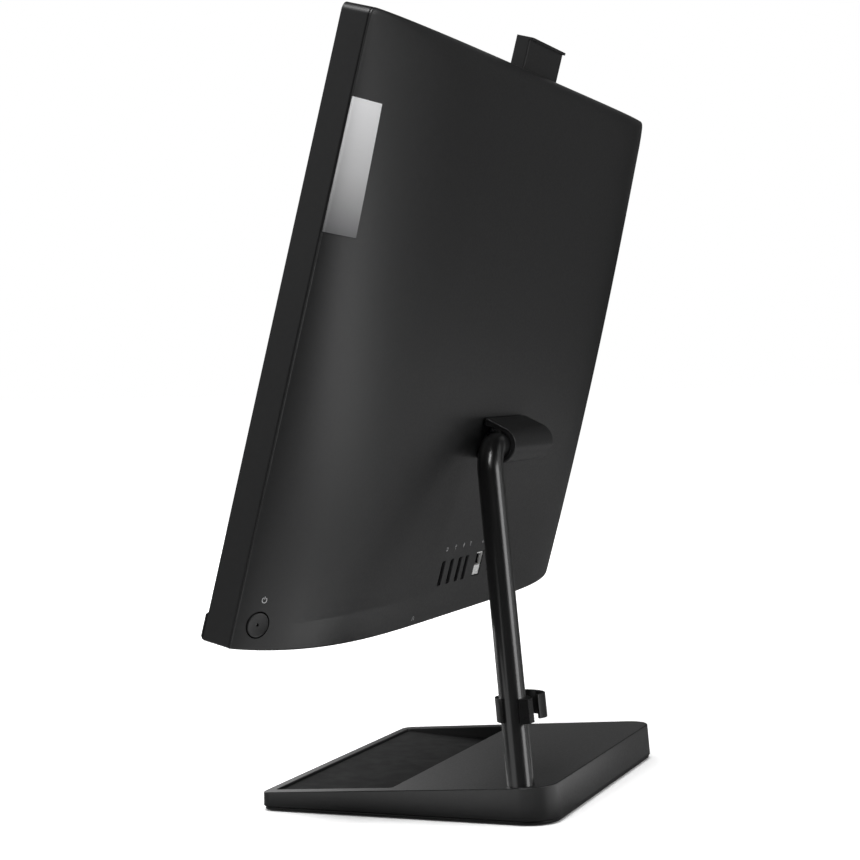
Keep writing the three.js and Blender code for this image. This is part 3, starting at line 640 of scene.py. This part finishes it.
def vent_holes():
    row = [(k - (VENTS - 1) / 2) * VENT_PITCH for k in range(VENTS)]
    xs = [side * VENT_CENTRE + x for side in (-1, 1) for x in row]
    outlines = [rounded(x - VENT_HALF, x + VENT_HALF, 21, 35, VENT_HALF - 0.01) for x in xs]
    return [prism(outline, -2, COVER_WALL + 1.5) for outline in outlines]


BUTTON_LENGTH = 5.3
BUTTON_PROUD = 0.3
BUTTON_RADIUS = 6.8


def button_place():
    """Axes on the power button: y points out along its travel, from the cover's surface."""
    axis = SCREEN.inverted().to_3x3() @ Vector(JOINTS["power_button_press"]["axis"])
    out = -axis.normalized()
    face = middle("power_button") + out * (BUTTON_LENGTH / 2 - BUTTON_PROUD)
    return at(*face, outward(out, Vector((0, 0, 1))))


BUTTON = button_place()


def button_hole():
    bore, mouth = BUTTON_RADIUS + 0.55, BUTTON_RADIUS + 0.9
    return lathe([(bore, -10), (bore, -0.6), (mouth, 0.3), (mouth, 6)], 64, BUTTON @ FACING_BACK)


BADGE_ROWS, BADGE_COLUMNS = 13, 25


def badge_sheet(margin, front, back):
    """A patch that follows the cover, between two offsets from its surface."""
    low, high = node_box("badge_plate")
    xs = np.linspace(low.x - margin, high.x + margin, BADGE_COLUMNS)
    zs = np.linspace(low.z - margin, high.z + margin, BADGE_ROWS)
    first, second = (
        [[(x, cover_depth(x, z) + offset, z) for x in xs] for z in zs] for offset in (front, back)
    )
    return closed_sheets(first, second)


def round_lip(cover):
    """Rounds the cover's outer edge, where it meets the bezel's side."""
    mesh = cover.data
    weight = mesh.attributes.new("bevel_weight_edge", "FLOAT", "EDGE")
    for edge in mesh.edges:
        ends = [mesh.vertices[k].co / MM for k in edge.vertices]
        on_lip = all(abs(end.y - RIM - LIP) < 0.02 for end in ends)
        at_side = all(abs(abs(end.x) - HALF_WIDTH) < 0.01 and end.z > EDGE_ROUND for end in ends)
        weight.data[edge.index].value = 1.0 if on_lip and at_side else 0.0
    modifier = cover.modifiers.new("round_lip", "BEVEL")
    modifier.width = 0.3 * MM
    modifier.segments = 3
    modifier.limit_method = "WEIGHT"
    settle(cover)


def rear_cover():
    cover = build("rear_cover_shell", cover_shell())
    round_lip(cover)
    cut(cover, *port_holes(), *vent_holes())
    screws = [middle(f"cover_screw_{k}") for k in range(1, 5)]
    counterbore = [(3.4, -1), (3.4, 1.2), (1.9, 1.2), (1.9, 6)]
    screw_holes = [lathe(counterbore, 24, at(screw.x, screw.y, 0)) for screw in screws]
    jack = middle("audio_jack")
    jack_hole = lathe([(3.6, -1), (3.2, 0.3), (3.2, 6)], 32, at(jack.x, jack.y + 0.05, 0))
    low, high = node_box("camera_module")
    x0, x1, y0, above = low.x - 0.5, high.x + 0.5, low.y - 0.4, HEIGHT + 7
    slot = block(x0, x1, y0, high.y - 1.5, HEIGHT - 13, above)
    cut(cover, *screw_holes, jack_hole, button_hole(), slot)
    lip_rest = block(x0, x1, y0, high.y + GAP, HEIGHT - CAMERA_LIP_HEIGHT - 0.2, above)
    hinge_window = block(-30, 30, 40, 60, 105, 126)
    cut(cover, lip_rest, hinge_window, badge_sheet(GAP, -0.6, 4))
    fit(cover, "head", "cover_plastic", "rear_cover", sharp=28)


# ---- front of the screen

SEAM = 0.05
BEZEL_WALL = 2.2
BOTTOM_CORNER = 1.5


def front_bezel():
    """The frame and its side band, with rounded edges at the front and at the seam."""
    low, high = node_box("front_bezel")
    glass_low, glass_high = node_box("lcd_glass")
    back = RIM - SEAM
    front_edge = [(0, 0.45), (0.13, 0.13), (0.45, 0)]
    back_edge = [(back - 1.1, 0), (back - 0.7, 0.05), (back - 0.3, 0.22), (back, 0.55)]
    rings = []
    for y, inset in front_edge + back_edge:
        outline = rounded(
            low.x + inset, high.x - inset, low.z + inset, high.z - inset,
            BOTTOM_CORNER - inset, CORNER - inset, steps=16,
        )
        rings.append([(x, low.y + y, z) for x, z in outline])
    bezel = build("bezel_frame", loft(rings))
    inside = high.x - BEZEL_WALL
    cut(bezel, block(-inside, inside, 1.8, 30, low.z + BEZEL_WALL, high.z - BEZEL_WALL))
    picture = block(glass_low.x + 2.2, glass_high.x - 2.2, -1, 3, glass_low.z + 1.8, glass_high.z - 1.8)
    sound_window = block(-262, 262, -1, 3, 4, 12)
    camera_room = block(-34.9, 34.9, 11.4, 20, 330, 350)
    cut(bezel, picture, sound_window, camera_room)
    fit(bezel, "head", "trim_plastic", "front_bezel")


def speaker_bar():
    """The bar under the picture. It stands proud of the bezel and hides the speakers behind slots."""
    low, high = node_box("speaker_bar")
    profile = [(-GAP, 0.4), (-GAP, 15.6), (low.y, 14.2), (low.y, 2.3)]
    bar = build("speaker_grille", prism(profile, low.x, high.x, "yz"))
    tenon = block(-261.7, 261.7, -0.8, 3.5, 4.3, 11.7)
    join(bar, tenon)
    soften(bar, 0.3)
    xs = [side * (150 + 11 * k) for side in (-1, 1) for k in range(9)]
    long, thick = 3.6, 0.7
    outlines = [(x - long, x + long, z - thick, z + thick, thick - 0.01) for x in xs for z in (6.4, 9.6)]
    cut(bar, *[upright(*outline, -4, 6) for outline in outlines])
    fit(bar, "head", "trim_plastic", "speaker_bar")


def lcd_glass():
    low, high = node_box("lcd_glass")
    glass = build("display_panel", upright(low.x, high.x, low.z, high.z, 1, low.y, high.y))
    soften(glass, 0.15)
    fit(glass, "head", "screen_glass", "lcd_glass")


# ---- pop-up camera

CAMERA_LIP = 1.8
CAMERA_LIP_HEIGHT = 1.5


def camera_pieces():
    """The module with its finger lip and grips, and its lens."""
    low, high = node_box("camera_module")
    lens = middle("camera_lens")
    back = high.y - CAMERA_LIP
    cap = high.z - CAMERA_LIP_HEIGHT
    body = build("camera_body", prism(rounded(low.x, high.x, low.y, back, 1.2), low.z, cap + 0.4))
    join(body, prism(rounded(low.x, high.x, low.y, high.y, 1.2), cap, high.z))
    soften(body, 0.3)
    well = lathe([(5.2, -1), (5.2, 2.2)], 48, at(lens.x, low.y, lens.z, FACING_BACK))
    holes = [lathe([(0.6, -1), (0.6, 1.5)], 16, at(x, low.y, lens.z, FACING_BACK)) for x in (-14, 14)]
    grips = [upright(-12, 12, low.z + z, low.z + z + 1, 0.49, back - 0.4, back + 1) for z in (3, 5, 7)]
    cut(body, well, *holes, *grips)
    fit(body, "camera", "trim_plastic", "camera_module")

    face = at(lens.x, lens.y, lens.z, Matrix.Rotation(math.radians(90), 4, "X"))
    rim = [(4.8, -0.75), (4.8, 0.5), (4.5, 0.75), (3.4, 0.75)]
    dome = [(3.1, 0.2), (2.6, 0.15), (2.2, 0.45), (1.2, 0.7), (0.3, 0.78)]
    glass = build("camera_lens_glass", lathe(rim + dome, 48, face))
    fit(glass, "camera", "lens_glass", "camera_lens")
    iris = [(3.5, 0.66), (3.5, 0.86), (4.3, 0.86), (4.3, 0.66)]
    ring = build("camera_lens_ring", lathe(iris, 48, face, closed=True))
    fit(ring, "camera", "lens_glass", look="port_metal")


# ---- tilt hinge

HOUSING_BORE = 8.4
HOUSING_END = 3.4


def hinge_housing():
    """Open towards the cover and at the pipe's end, round at the back and closed at the far end."""
    low, high = node_box("hinge_housing")
    y, z = HINGE.y, HINGE.z
    outer, bore = high.y - y, HOUSING_BORE
    outline = [(low.y, z - outer)] + arc(y, z, outer, -90, 78, 40) + [(low.y, high.z)]
    housing = build("hinge_cap", prism(outline, low.x, high.x, "yz"))
    soften(housing, 1.0, 4, 50)
    inside = [(low.y - 3, z - bore)] + arc(y, z, bore, -90, 78, 40) + [(low.y - 3, z + bore + 2)]
    cut(housing, prism(inside, low.x + HOUSING_END, high.x + 5, "yz"))
    fit(housing, "head", "cover_plastic", "hinge_housing")


# ---- power button, badge and print


def power_button():
    """A dished cap with a light pinhole in its middle."""
    edge, proud = BUTTON_RADIUS, BUTTON_PROUD
    steps, hollow, pinhole = 12, 0.75, 0.92
    dish = [(edge * k / steps, proud - hollow * (1 - (k / steps) ** 2)) for k in range(steps - 1, 0, -1)]
    floor = dish[-1][1]
    side = [(edge, proud - BUTTON_LENGTH), (edge, proud - 0.35)]
    side += [(edge - 0.12, proud - 0.1), (edge - 0.4, proud)]
    well = [(pinhole, floor - 0.02), (pinhole - 0.02, floor - 1.2)]
    profile = side + [point for point in dish if point[0] > pinhole] + well
    cap = build("power_button_cap", lathe(profile, 64, BUTTON @ FACING_BACK))
    fit(cap, "power_button", "trim_plastic", "power_button")
    lens = [(0.86, floor - 1.18), (0.86, floor - 0.8), (0.4, floor - 0.7)]
    light = build("power_light", lathe(lens, 20, BUTTON @ FACING_BACK))
    fit(light, "power_button", "trim_plastic", look="indicator")


def badge():
    plate = build("badge", badge_sheet(0, -0.3, 0.3))
    soften(plate, 0.12)
    fit(plate, "head", "badge_metal", "badge_plate")


PRINT = (-0.01, 0.06)
BOLD, THIN = 0.42, 0.3


def stroke(points, width, closed=False):
    """A line of even width in the x-z plane, as thick as print."""
    low, high = PRINT
    rings = []
    for k, (x, z) in enumerate(points):
        before = points[k - 1] if k or closed else points[0]
        after = points[(k + 1) % len(points)] if closed or k + 1 < len(points) else points[-1]
        along = Vector((after[0] - before[0], after[1] - before[1])).normalized()
        sx, sz = -along.y * width / 2, along.x * width / 2
        corners = ((1, low), (1, high), (-1, high), (-1, low))
        rings.append([(x + sx * side, depth, z + sz * side) for side, depth in corners])
    return loft(rings, closed)


def power_icon():
    ring = stroke(arc(0, 0, 1.5, 125, 415, 24), BOLD)
    return merged(ring, stroke([(0, 0.5), (0, 1.9)], BOLD))


def screen_icon():
    screen = stroke([(-1.1, -0.8), (1.1, -0.8), (1.1, 0.8), (-1.1, 0.8)], THIN, closed=True)
    return merged(screen, stroke([(-0.6, -1.35), (0.6, -1.35)], THIN))


def plug_icon():
    return merged(
        stroke([(0, -1.4), (0, 0.2)], 0.34),
        stroke([(-0.6, 0.35), (0.6, 0.35), (0.6, 1.4), (-0.6, 1.4)], THIN, closed=True),
    )


def network_icon():
    boxes = [(0, 0.9), (-1.1, -0.9), (1.1, -0.9)]
    squares = [upright(x - 0.45, x + 0.45, z - 0.35, z + 0.35, 0.1, *PRINT) for x, z in boxes]
    return merged(*squares, stroke([(-1.1, -0.35), (-1.1, 0.1), (1.1, 0.1), (1.1, -0.35)], 0.24))


def headphone_icon():
    band = stroke(arc(0, -0.2, 1.3, 0, 180, 14), THIN)
    pads = [upright(x - 0.35, x + 0.35, -1.3, -0.3, 0.15, *PRINT) for x in (-1.3, 1.3)]
    return merged(band, *pads)


def printed_marks():
    """Plain symbols in light grey print: what each socket is for, and the power sign by its button."""
    marks = [("power_mark", power_icon(), 258.7, 28.2)]
    row = node_box("video_port")[1].z + 8.6
    for node, symbol in zip(PORTS, (screen_icon, plug_icon, plug_icon, plug_icon, network_icon)):
        marks.append((f"{node}_mark", symbol(), middle(node).x, row))
    marks.append(("audio_mark", headphone_icon(), 89, 5.2))
    for name, shape, x, z in marks:
        mark = build(name, moved(shape, surface_place(x, z)))
        fit(mark, "head", "cover_plastic", look="print_grey")


# ---- connectors


def shell_outline(low, high, grow, clipped):
    """Outline of a connector's metal shell, with two clipped corners on a video connector."""
    x0, x1, z0, z1 = low.x - grow, high.x + grow, low.z - grow, high.z + grow
    if not clipped:
        return rounded(x0, x1, z0, z1, 0.7 + grow, steps=4)
    cut_x, cut_z = 1.6, 2.0
    return [(x0, z0 + cut_z), (x0 + cut_x, z0), (x1, z0), (x1, z1), (x0 + cut_x, z1), (x0, z1 - cut_z)]


def slot_connector(node, clipped=False):
    """A sheet-metal shell with a flared mouth, a plastic tongue and gold contacts along it."""
    low, high = node_box(node)
    wall, face = 0.4, high.y
    floor = face - 12
    depths = [(low.y, 0), (face, 0), (face, -wall + 0.15), (face - 0.5, -wall), (floor, -wall)]
    rings = [[(x, y, z) for x, z in shell_outline(low, high, grow, clipped)] for y, grow in depths]
    # the shell takes a near-black copy of the port metal: painted shade for the inside of the socket
    fit(build(f"{node}_shell", loft(rings)), "head", "port_metal", node, look="port_dark")

    x = middle(node).x
    half, count = (0.6, 9) if clipped else (0.9, 4)
    shape = block(x - half, x + half, floor + 0.1, face - 2.5, low.z + 2, high.z - 2)
    tongue = build(f"{node}_tongue", shape)
    soften(tongue, 0.15)
    fit(tongue, "head", "component_plastic")
    pitch = (high.z - low.z - 5) / count
    strips = []
    for k in range(count):
        z0 = low.z + 2.5 + pitch * (k + 0.2)
        strips.append(block(x + half, x + half + 0.12, floor + 1, face - 4, z0, z0 + pitch * 0.6))
    contacts = build(f"{node}_contacts", *strips)
    fit(contacts, "head", "port_metal", look="contact_gold")


def network_connector():
    """Its mouth is in the upper half, over a plain metal face with two shallow panels. The face's near-white
    colour is a painted highlight for the glare off the metal.
    """
    low, high = node_box("lan_port")
    x, face = (low.x + high.x) / 2, high.y
    x0, x1, bottom, top, floor = x - 5.85, x + 5.85, 29.3, high.z - 0.8, face - 13
    shell = build("network_shell", upright(low.x, high.x, low.z, high.z, 0.6, low.y, face))
    soften(shell, 0.25)
    cut(shell, upright(x0, x1, bottom, top, 0.3, floor, face + 3))
    panels = [(x + side - 1.1, x + side + 1.1, low.z + 2.2, bottom - 2.4) for side in (-3.2, 3.2)]
    cut(shell, *[upright(*panel, 0.4, face - 0.25, face + 1) for panel in panels])
    # the face's near-white colour is a painted highlight for the metal's glare
    fit(shell, "head", "port_metal", "lan_port", look="port_face")
    sleeve = upright(x0 + 0.1, x1 - 0.1, bottom + 0.1, top - 0.1, 0.3, floor + 0.1, face - 1.7)
    liner = build("network_liner", sleeve)
    cut(liner, upright(x0 + 0.7, x1 - 0.7, bottom + 0.7, top - 0.6, 0.3, floor + 1, face + 1))
    fit(liner, "head", "component_plastic")
    z0, z1, pitch = bottom + 0.9, bottom + 1.15, 1.02
    spots = [x + (k - 3.5) * pitch for k in range(8)]
    wires = [block(spot - 0.2, spot + 0.2, face - 11.5, face - 2.5, z0, z1) for spot in spots]
    fit(build("network_contacts", *wires), "head", "port_metal", look="contact_gold")


def power_inlet():
    low, high = node_box("dc_jack")
    centre, radius = (low + high) / 2, (high.x - low.x) / 2
    face = at(centre.x, high.y, centre.z, FACING_BACK)
    barrel = [(radius, low.y - high.y), (radius, -0.4), (radius - 0.4, 0)]
    bore = [(3.5, 0), (3.2, -0.4), (3.2, -10)]
    fit(build("power_inlet_body", lathe(barrel + bore, 48, face)), "head", "component_plastic", "dc_jack")
    pin = [(0.9, -9.95), (0.9, -1.5), (0.6, -1), (0.2, -0.9)]
    fit(build("power_inlet_pin", lathe(pin, 24, face)), "head", "port_metal")


def audio_socket():
    low, high = node_box("audio_jack")
    axis = at((low.x + high.x) / 2, high.y - 4.5, low.z)
    outline = rounded(low.x, high.x, low.y, high.y, 0.6)
    body = build("audio_socket_body", prism(outline, low.z + 0.1, high.z))
    cut(body, lathe([(1.8, -3), (1.8, 10)], 32, axis))
    fit(body, "head", "component_plastic", "audio_jack")
    ring = [(1.95, 0.0), (2.9, 0.0), (2.9, -0.9), (2.3, -1.6), (1.95, -1.6)]
    collar = build("audio_socket_collar", lathe(ring, 40, axis, closed=True))
    fit(collar, "head", "port_metal")


def screw_head(radius, height, shank, length):
    """A pan head that faces down at z = 0, with its shank going up."""
    pan = [(radius - 0.5, 0), (radius - 0.15, 0.15), (radius, 0.45), (radius, height)]
    return lathe(pan + [(shank, height), (shank, length)], 32)


def screws():
    """Pan heads with a cross recess."""
    kinds = [(f"cover_screw_{k}", "head", SCREEN) for k in range(1, 5)]
    kinds += [(f"base_screw_{k}", "base", ROW) for k in range(1, 4)]
    for node, body, place in kinds:
        low, high = node_box(node, place)
        centre, radius = (low + high) / 2, (high.x - low.x) / 2
        head = 0.8 if body == "head" else 1.2
        spot = at(centre.x, centre.y, low.z)
        screw = build(f"{node}_pan", moved(screw_head(radius, head, 1.5, high.z - low.z), spot))
        for turn in (0, 90):
            cross = prism(rounded(-1.7, 1.7, -0.35, 0.35, 0.2), -1, 0.55)
            cut(screw, moved(cross, spot @ Matrix.Rotation(math.radians(turn), 4, "Z")))
        fit(screw, body, "steel_hardware", node, place=place)


# ---- base

BASE_LOW, BASE_HIGH = node_box("base_shell", ROW)
FRONT_TOP = 11.4
BACK_IN = 1.7
FRONT_CORNER = 7
BACK_CORNER = 20
SHELL_WALL = 2.2
TRAY_FRONT, TRAY_BACK = 10.4, 6.9
MAT = 1
RIB_FRONT, RIB_BACK = -10, -7.5


def top_at(y):
    """Height of the base's sloping top."""
    share = (y - BASE_LOW.y) / (BASE_HIGH.y - BACK_IN - BASE_LOW.y)
    return FRONT_TOP + share * (BASE_HIGH.z - FRONT_TOP)


def base_outline(inset=0.0):
    return rounded(
        BASE_LOW.x + inset, BASE_HIGH.x - inset, BASE_LOW.y + inset, BASE_HIGH.y - inset,
        FRONT_CORNER - inset, BACK_CORNER - inset, steps=16,
    )


def drafted(y, height):
    """The back wall leans in towards the top."""
    rear = max(0, y / BASE_HIGH.y) ** 3
    return y - BACK_IN * rear * height / (BASE_HIGH.z - BASE_LOW.z)


def tray_floor(y):
    """Height of the tray mat's sloping top."""
    low, high = node_box("tray_mat", ROW)
    share = (y - low.y) / (high.y - low.y)
    return TRAY_FRONT + share * (TRAY_BACK - TRAY_FRONT)


def tray_prism(margin, drop, rise):
    """A solid in the tray's outline, from below its sloping floor to above it."""
    low, high = node_box("tray_mat", ROW)
    outline = rounded(low.x - margin, high.x + margin, low.y - margin, high.y + margin, 2 + margin)
    return loft([[(x, y, tray_floor(y) + z) for x, y in outline] for z in (-drop, rise)])


def base_shell():
    """A wedge with the tray sunk in its front half, hollow from below."""
    bottom = [(x, y, BASE_LOW.z) for x, y in base_outline()]
    leaned = [(x, drafted(y, top_at(y) - BASE_LOW.z)) for x, y in base_outline()]
    top = [(x, y, top_at(y)) for x, y in leaned]
    shell = build("base_top_shell", loft([bottom, top]))
    cut(shell, tray_prism(GAP, MAT + GAP, 30))
    soften(shell, 0.7, 3, 30)
    hollow = build("hollow", prism(base_outline(SHELL_WALL), 0, 40))
    front_wall, rear_wall = BASE_LOW.y + 4.5, BASE_HIGH.y - 4.5
    ceiling = [
        (front_wall, -1), (rear_wall, -1), (rear_wall, top_at(rear_wall) - SHELL_WALL),
        (RIB_BACK, top_at(RIB_BACK) - SHELL_WALL), (RIB_BACK, 3.6), (RIB_FRONT, 3.6), (front_wall, 7),
    ]
    combine(hollow, "INTERSECT", build("ceiling", prism(ceiling, -150, 150, "yz")))
    combine(shell, "DIFFERENCE", hollow)
    pipe_axis = Matrix.Scale(1 / MM, 4) @ PIPE @ Matrix.Scale(MM, 4)
    cut(shell, lathe([(PIPE_HOLE, -1), (PIPE_HOLE, 40)], 64, pipe_axis))
    fit(shell, "base", "base_plastic", "base_shell", place=ROW)


def tray_mat():
    mat = build("tray_pad", tray_prism(0, MAT, 0))
    soften(mat, 0.3)
    fit(mat, "base", "tray_rubber", "tray_mat", place=ROW)


def bottom_cover():
    low, high = node_box("base_bottom_cover", ROW)
    plate = build("base_plate", prism(base_outline(1), low.z, high.z))
    soften(plate, 0.4)
    rounds = [(f"rubber_foot_{k}", 8.4, 40) for k in range(1, 5)]
    rounds += [(f"base_screw_{k}", 3.4, 24) for k in range(1, 4)]
    holes = []
    for node, radius, sides in rounds:
        spot = middle(node, ROW)
        holes.append(lathe([(radius, -1), (radius, 5)], sides, at(spot.x, spot.y, 0)))
    cut(plate, *holes)
    fit(plate, "base", "base_plastic", "base_bottom_cover", place=ROW)


def rubber_feet():
    for k in range(1, 5):
        low, high = node_box(f"rubber_foot_{k}", ROW)
        centre, radius = (low + high) / 2, (high.x - low.x) / 2
        profile = [(1.2, 0.3), (2, 0), (radius - 2, 0), (radius - 1.6, 0.25), (radius - 1.2, 0)]
        profile += [(radius - 0.6, 0), (radius - 0.15, 0.2), (radius, 0.6), (radius, high.z)]
        foot = build(f"foot_pad_{k}", lathe(profile, 40, at(centre.x, centre.y, 0)))
        fit(foot, "base", "foot_rubber", f"rubber_foot_{k}", place=ROW)


# ---- stand pipe and cable clip

PIPE_RADIUS = 8
PIPE_HOLE = 8.35
PIPE_WALL = 1.8
PIPE_BEND = 22
BEND_STEPS = 28


def pipe_route():
    """Straight up from the base, then on one arc into the hinge axis."""
    hinge = Vector(JOINTS["screen_tilt"]["pos_m"]) / MM
    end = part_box("stand_pipe")[0].x / MM
    up = Vector(JOINTS["clip_slide"]["axis"]).normalized()
    foot = PIPE.translation / MM
    corner = foot + up * ((hinge.z - foot.z) / up.z)
    inward = Vector((-1, 0, 0))
    turn = up.angle(inward)
    start = corner - up * PIPE_BEND * math.tan(turn / 2)
    side = (inward - up * inward.dot(up)).normalized()
    centre = start + side * PIPE_BEND
    points = [foot, foot + up * 2, start - up * 2]
    for k in range(BEND_STEPS + 1):
        angle = turn * k / BEND_STEPS
        points.append(centre - side * PIPE_BEND * math.cos(angle) + up * PIPE_BEND * math.sin(angle))
    points.append(points[-1] + inward * 2)
    points.append(Vector((end, hinge.y, hinge.z)))
    return points


def stand_pipe():
    route = pipe_route()
    outer, inner = (tube_rings(route, PIPE_RADIUS - depth, 64) for depth in (0, PIPE_WALL))
    pipe = build("pipe_tube", loft(outer + inner[::-1], closed=True))
    fit(pipe, "base", "pipe_paint", "stand_pipe", place=ROW)


def arc_wall(x, y, outer, bore, start, end, steps):
    return arc(x, y, outer, start, end, steps) + arc(x, y, bore, end, start, steps)


def cable_clip():
    """A spring ring with its mouth to the near side and a wide hook behind it for the cables.
    It is drawn square to the pipe, and its two end faces are level with the desk."""
    low, high = node_box("cable_clip", ROW)
    across, along, up = (PIPE.to_3x3().col[k] for k in range(3))
    foot = PIPE.translation.z / MM

    def level(outline):
        return loft([
            [(x, y, (height - foot - across.z * x - along.z * y) / up.z) for x, y in outline]
            for height in (low.z, high.z)
        ])

    ring = arc_wall(0, 0, 10.4, 8.3, 38, 334, 72)
    hook = arc_wall(-19.1, 2.05, 11.8, 10, 56, 335, 60)
    pad = [(8.9, 6.4), (7, 11.6), (-0.2, 12.2), (-5.2, 8.6)] + arc(0, 0, 9.4, 118, 39, 16)
    clip = build("clip_ring", level(ring))
    join(clip, level(hook))
    join(clip, level(pad))
    soften(clip, 0.35)
    # the clip takes a darker copy of the trim plastic: painted shade
    fit(clip, "cable_clip", "trim_plastic", "cable_clip", place=PIPE, look="clip_plastic")


def dress_cad_nodes():
    """The inner parts keep their CAD shape, and take the look of their record slot."""
    slots = {row["node"]: row["material_slot"] for row in frame["record"]["subparts"]}
    for name, node in NODES.items():
        if node.hide_render:
            continue
        node.data.materials.clear()
        node.data.materials.append(LOOKS[slots[name]])


# ---- camera, floor and light

CAMERA_PLACE = (1.248455, 0.444873, 0.258767)
CAMERA_AZIMUTH, CAMERA_ELEVATION, CAMERA_ROLL = 110.553, 1.357, -1.138
LENS = 86.19


def direction(azimuth, elevation):
    """Azimuth runs from the screen's front (0) past its button side (90) to its back (180)."""
    a, e = math.radians(azimuth), math.radians(elevation)
    return Vector((math.sin(a) * math.cos(e), -math.cos(a) * math.cos(e), math.sin(e)))


def add_camera():
    data = bpy.data.cameras.new("camera")
    data.lens = LENS
    data.sensor_width = 36
    back = direction(CAMERA_AZIMUTH, CAMERA_ELEVATION)
    right = (-back).cross(Vector((0, 0, 1))).normalized()
    roll = Matrix.Rotation(math.radians(CAMERA_ROLL), 3, "Z")
    turn = Matrix((right, back.cross(right), back)).transposed() @ roll
    camera = bpy.data.objects.new("camera", data)
    camera.matrix_world = Matrix.Translation(CAMERA_PLACE) @ turn.to_4x4()
    bpy.context.scene.collection.objects.link(camera)
    bpy.context.scene.camera = camera


WHITE = (1, 1, 1, 1)
FLOOR_HALF = 40000
FLOOR_BOUNCE = 0.3
GLOW_START, GLOW_END = 250, 1200
CONTACT_SHADE = 0.03


def add_floor():
    """Pale floor. It sends little light back up, so that the dark plastic keeps its depth."""
    surface = Surface("floor_white", Roughness=0.9, Specular_IOR_Level=0.0, Emission_Color=WHITE)
    tuned(surface.shader, Base_Color=(0.93, 0.93, 0.93, 1))
    surface.feed("Emission Strength", floor_glow(surface))
    returned = surface.new("BsdfDiffuse", Color=(FLOOR_BOUNCE,) * 3 + (1,))
    path, mix = surface.new("LightPath"), surface.new("MixShader")
    surface.links.new(path.outputs["Is Camera Ray"], mix.inputs["Fac"])
    surface.links.new(returned.outputs["BSDF"], mix.inputs[1])
    surface.links.new(surface.shader.outputs["BSDF"], mix.inputs[2])
    surface.links.new(mix.outputs["Shader"], surface.nodes["Material Output"].inputs["Surface"])
    corners = [(x * FLOOR_HALF, y * FLOOR_HALF, 0) for x, y in ((-1, -1), (1, -1), (1, 1), (-1, 1))]
    floor = build("floor", (corners, [(0, 1, 2, 3)]))
    floor.data.materials.append(surface.material)


def floor_glow(surface):
    """The floor's glow is dimmer near the object and runs into the white background far off. An ambient-occlusion
    factor darkens it where the object stands over it: a painted contact shadow.
    """
    away = surface.located("VectorMath")
    away.operation = "LENGTH"
    glow = surface.spread(away.outputs["Value"], 0.8, 1.05, GLOW_START, GLOW_END)
    # painted contact shadow: ambient occlusion scales down the floor's glow under and beside the object
    painted_contact_shadow = surface.new("AmbientOcclusion", Distance=CONTACT_SHADE)
    shaded = surface.new("Math")
    shaded.operation = "MULTIPLY"
    surface.links.new(glow, shaded.inputs[0])
    surface.links.new(painted_contact_shadow.outputs["AO"], shaded.inputs[1])
    return shaded.outputs["Value"]


def add_world():
    """White behind the object, seen by the camera only. All the light comes from the lamps."""
    world = bpy.data.worlds.new("studio")
    world.use_nodes = True
    tree = world.node_tree
    background = tuned(tree.nodes["Background"], Color=WHITE)
    path = tree.nodes.new("ShaderNodeLightPath")
    tree.links.new(path.outputs["Is Camera Ray"], background.inputs["Strength"])
    bpy.context.scene.world = world


def add_light(name, position, target, size, power):
    data = bpy.data.lights.new(name, "AREA")
    data.shape = "RECTANGLE"
    data.size, data.size_y = size
    data.energy = power
    light = bpy.data.objects.new(name, data)
    light.location = position
    light.rotation_euler = (Vector(target) - Vector(position)).to_track_quat("-Z", "Y").to_euler()
    light.visible_camera = False
    bpy.context.scene.collection.objects.link(light)


BOX_CENTRE, BOX_DISTANCE = Vector((0, 0, 0.22)), 2.3
SQUARE, WIDE = (1.1, 1.1), (1.8, 1.2)
BOXES = [  # name, azimuth, elevation, size in metres, power in watts
    ("overhead", 90, 60, SQUARE, 37.6),
    ("near_side", 56, 13, WIDE, 4.6),
    ("far_side", 285, 20, SQUARE, 1.2),
    ("front", 325, 30, SQUARE, 5.6),
    ("front_low", 340, 8, SQUARE, 11.2),
    ("far_low", 310, 12, SQUARE, 4.8),
    ("behind", 177, 18, SQUARE, 12.5),
]
STRIP_CENTRE, STRIP_DISTANCE, STRIP = Vector((0, 0, 1.05)), 2, (0.25, 2.0)
STRIPS = [(206, 1.6), (222, 0.85), (250, 0.42)]  # azimuth, power
PATCH_HEIGHT = 0.004
PATCH = (0.42, 0.42)
PATCHES = [  # x, y, size, power
    (-0.15, 0.3, PATCH, 0.061),
    (-0.15, 0.7, PATCH, 1.1),
    (-0.15, 1.2, PATCH, 2.8),
    (-1.1, 0.5, PATCH, 0.23),
    (0.35, 0, PATCH, 0.18),
    (0.22, 0.08, (0.12, 0.5), 0.08),
    (0.22, -0.1, (0.12, 0.3), 0.12),
    (0.0, 0.19, (0.25, 0.1), 0.16),
]


def add_lights():
    """Soft boxes round the object, tall strips behind it, and lit patches of the floor, which the
    sides of the base and the lower half of the cover mirror."""
    for name, azimuth, elevation, size, power in BOXES:
        place = BOX_CENTRE + direction(azimuth, elevation) * BOX_DISTANCE
        add_light(name, place, BOX_CENTRE, size, power)
    for azimuth, power in STRIPS:
        place = STRIP_CENTRE + direction(azimuth, 0) * STRIP_DISTANCE
        add_light(f"strip_{azimuth}", place, STRIP_CENTRE, STRIP, power)
    for k, (x, y, size, power) in enumerate(PATCHES, 1):
        add_light(f"floor_patch_{k}", (x, y, PATCH_HEIGHT), (x, y, 1), size, power)


# ---- the model

add_camera()
add_floor()
add_world()
add_lights()

rear_cover()
front_bezel()
speaker_bar()
lcd_glass()
camera_pieces()
hinge_housing()
power_button()
badge()
printed_marks()
for port in PORTS[:-1]:
    slot_connector(port, clipped=port == "video_port")
network_connector()
power_inlet()
audio_socket()
screws()
base_shell()
tray_mat()
bottom_cover()
rubber_feet()
stand_pipe()
cable_clip()
dress_cad_nodes()

bpy.context.scene.view_settings.view_transform = "Standard"
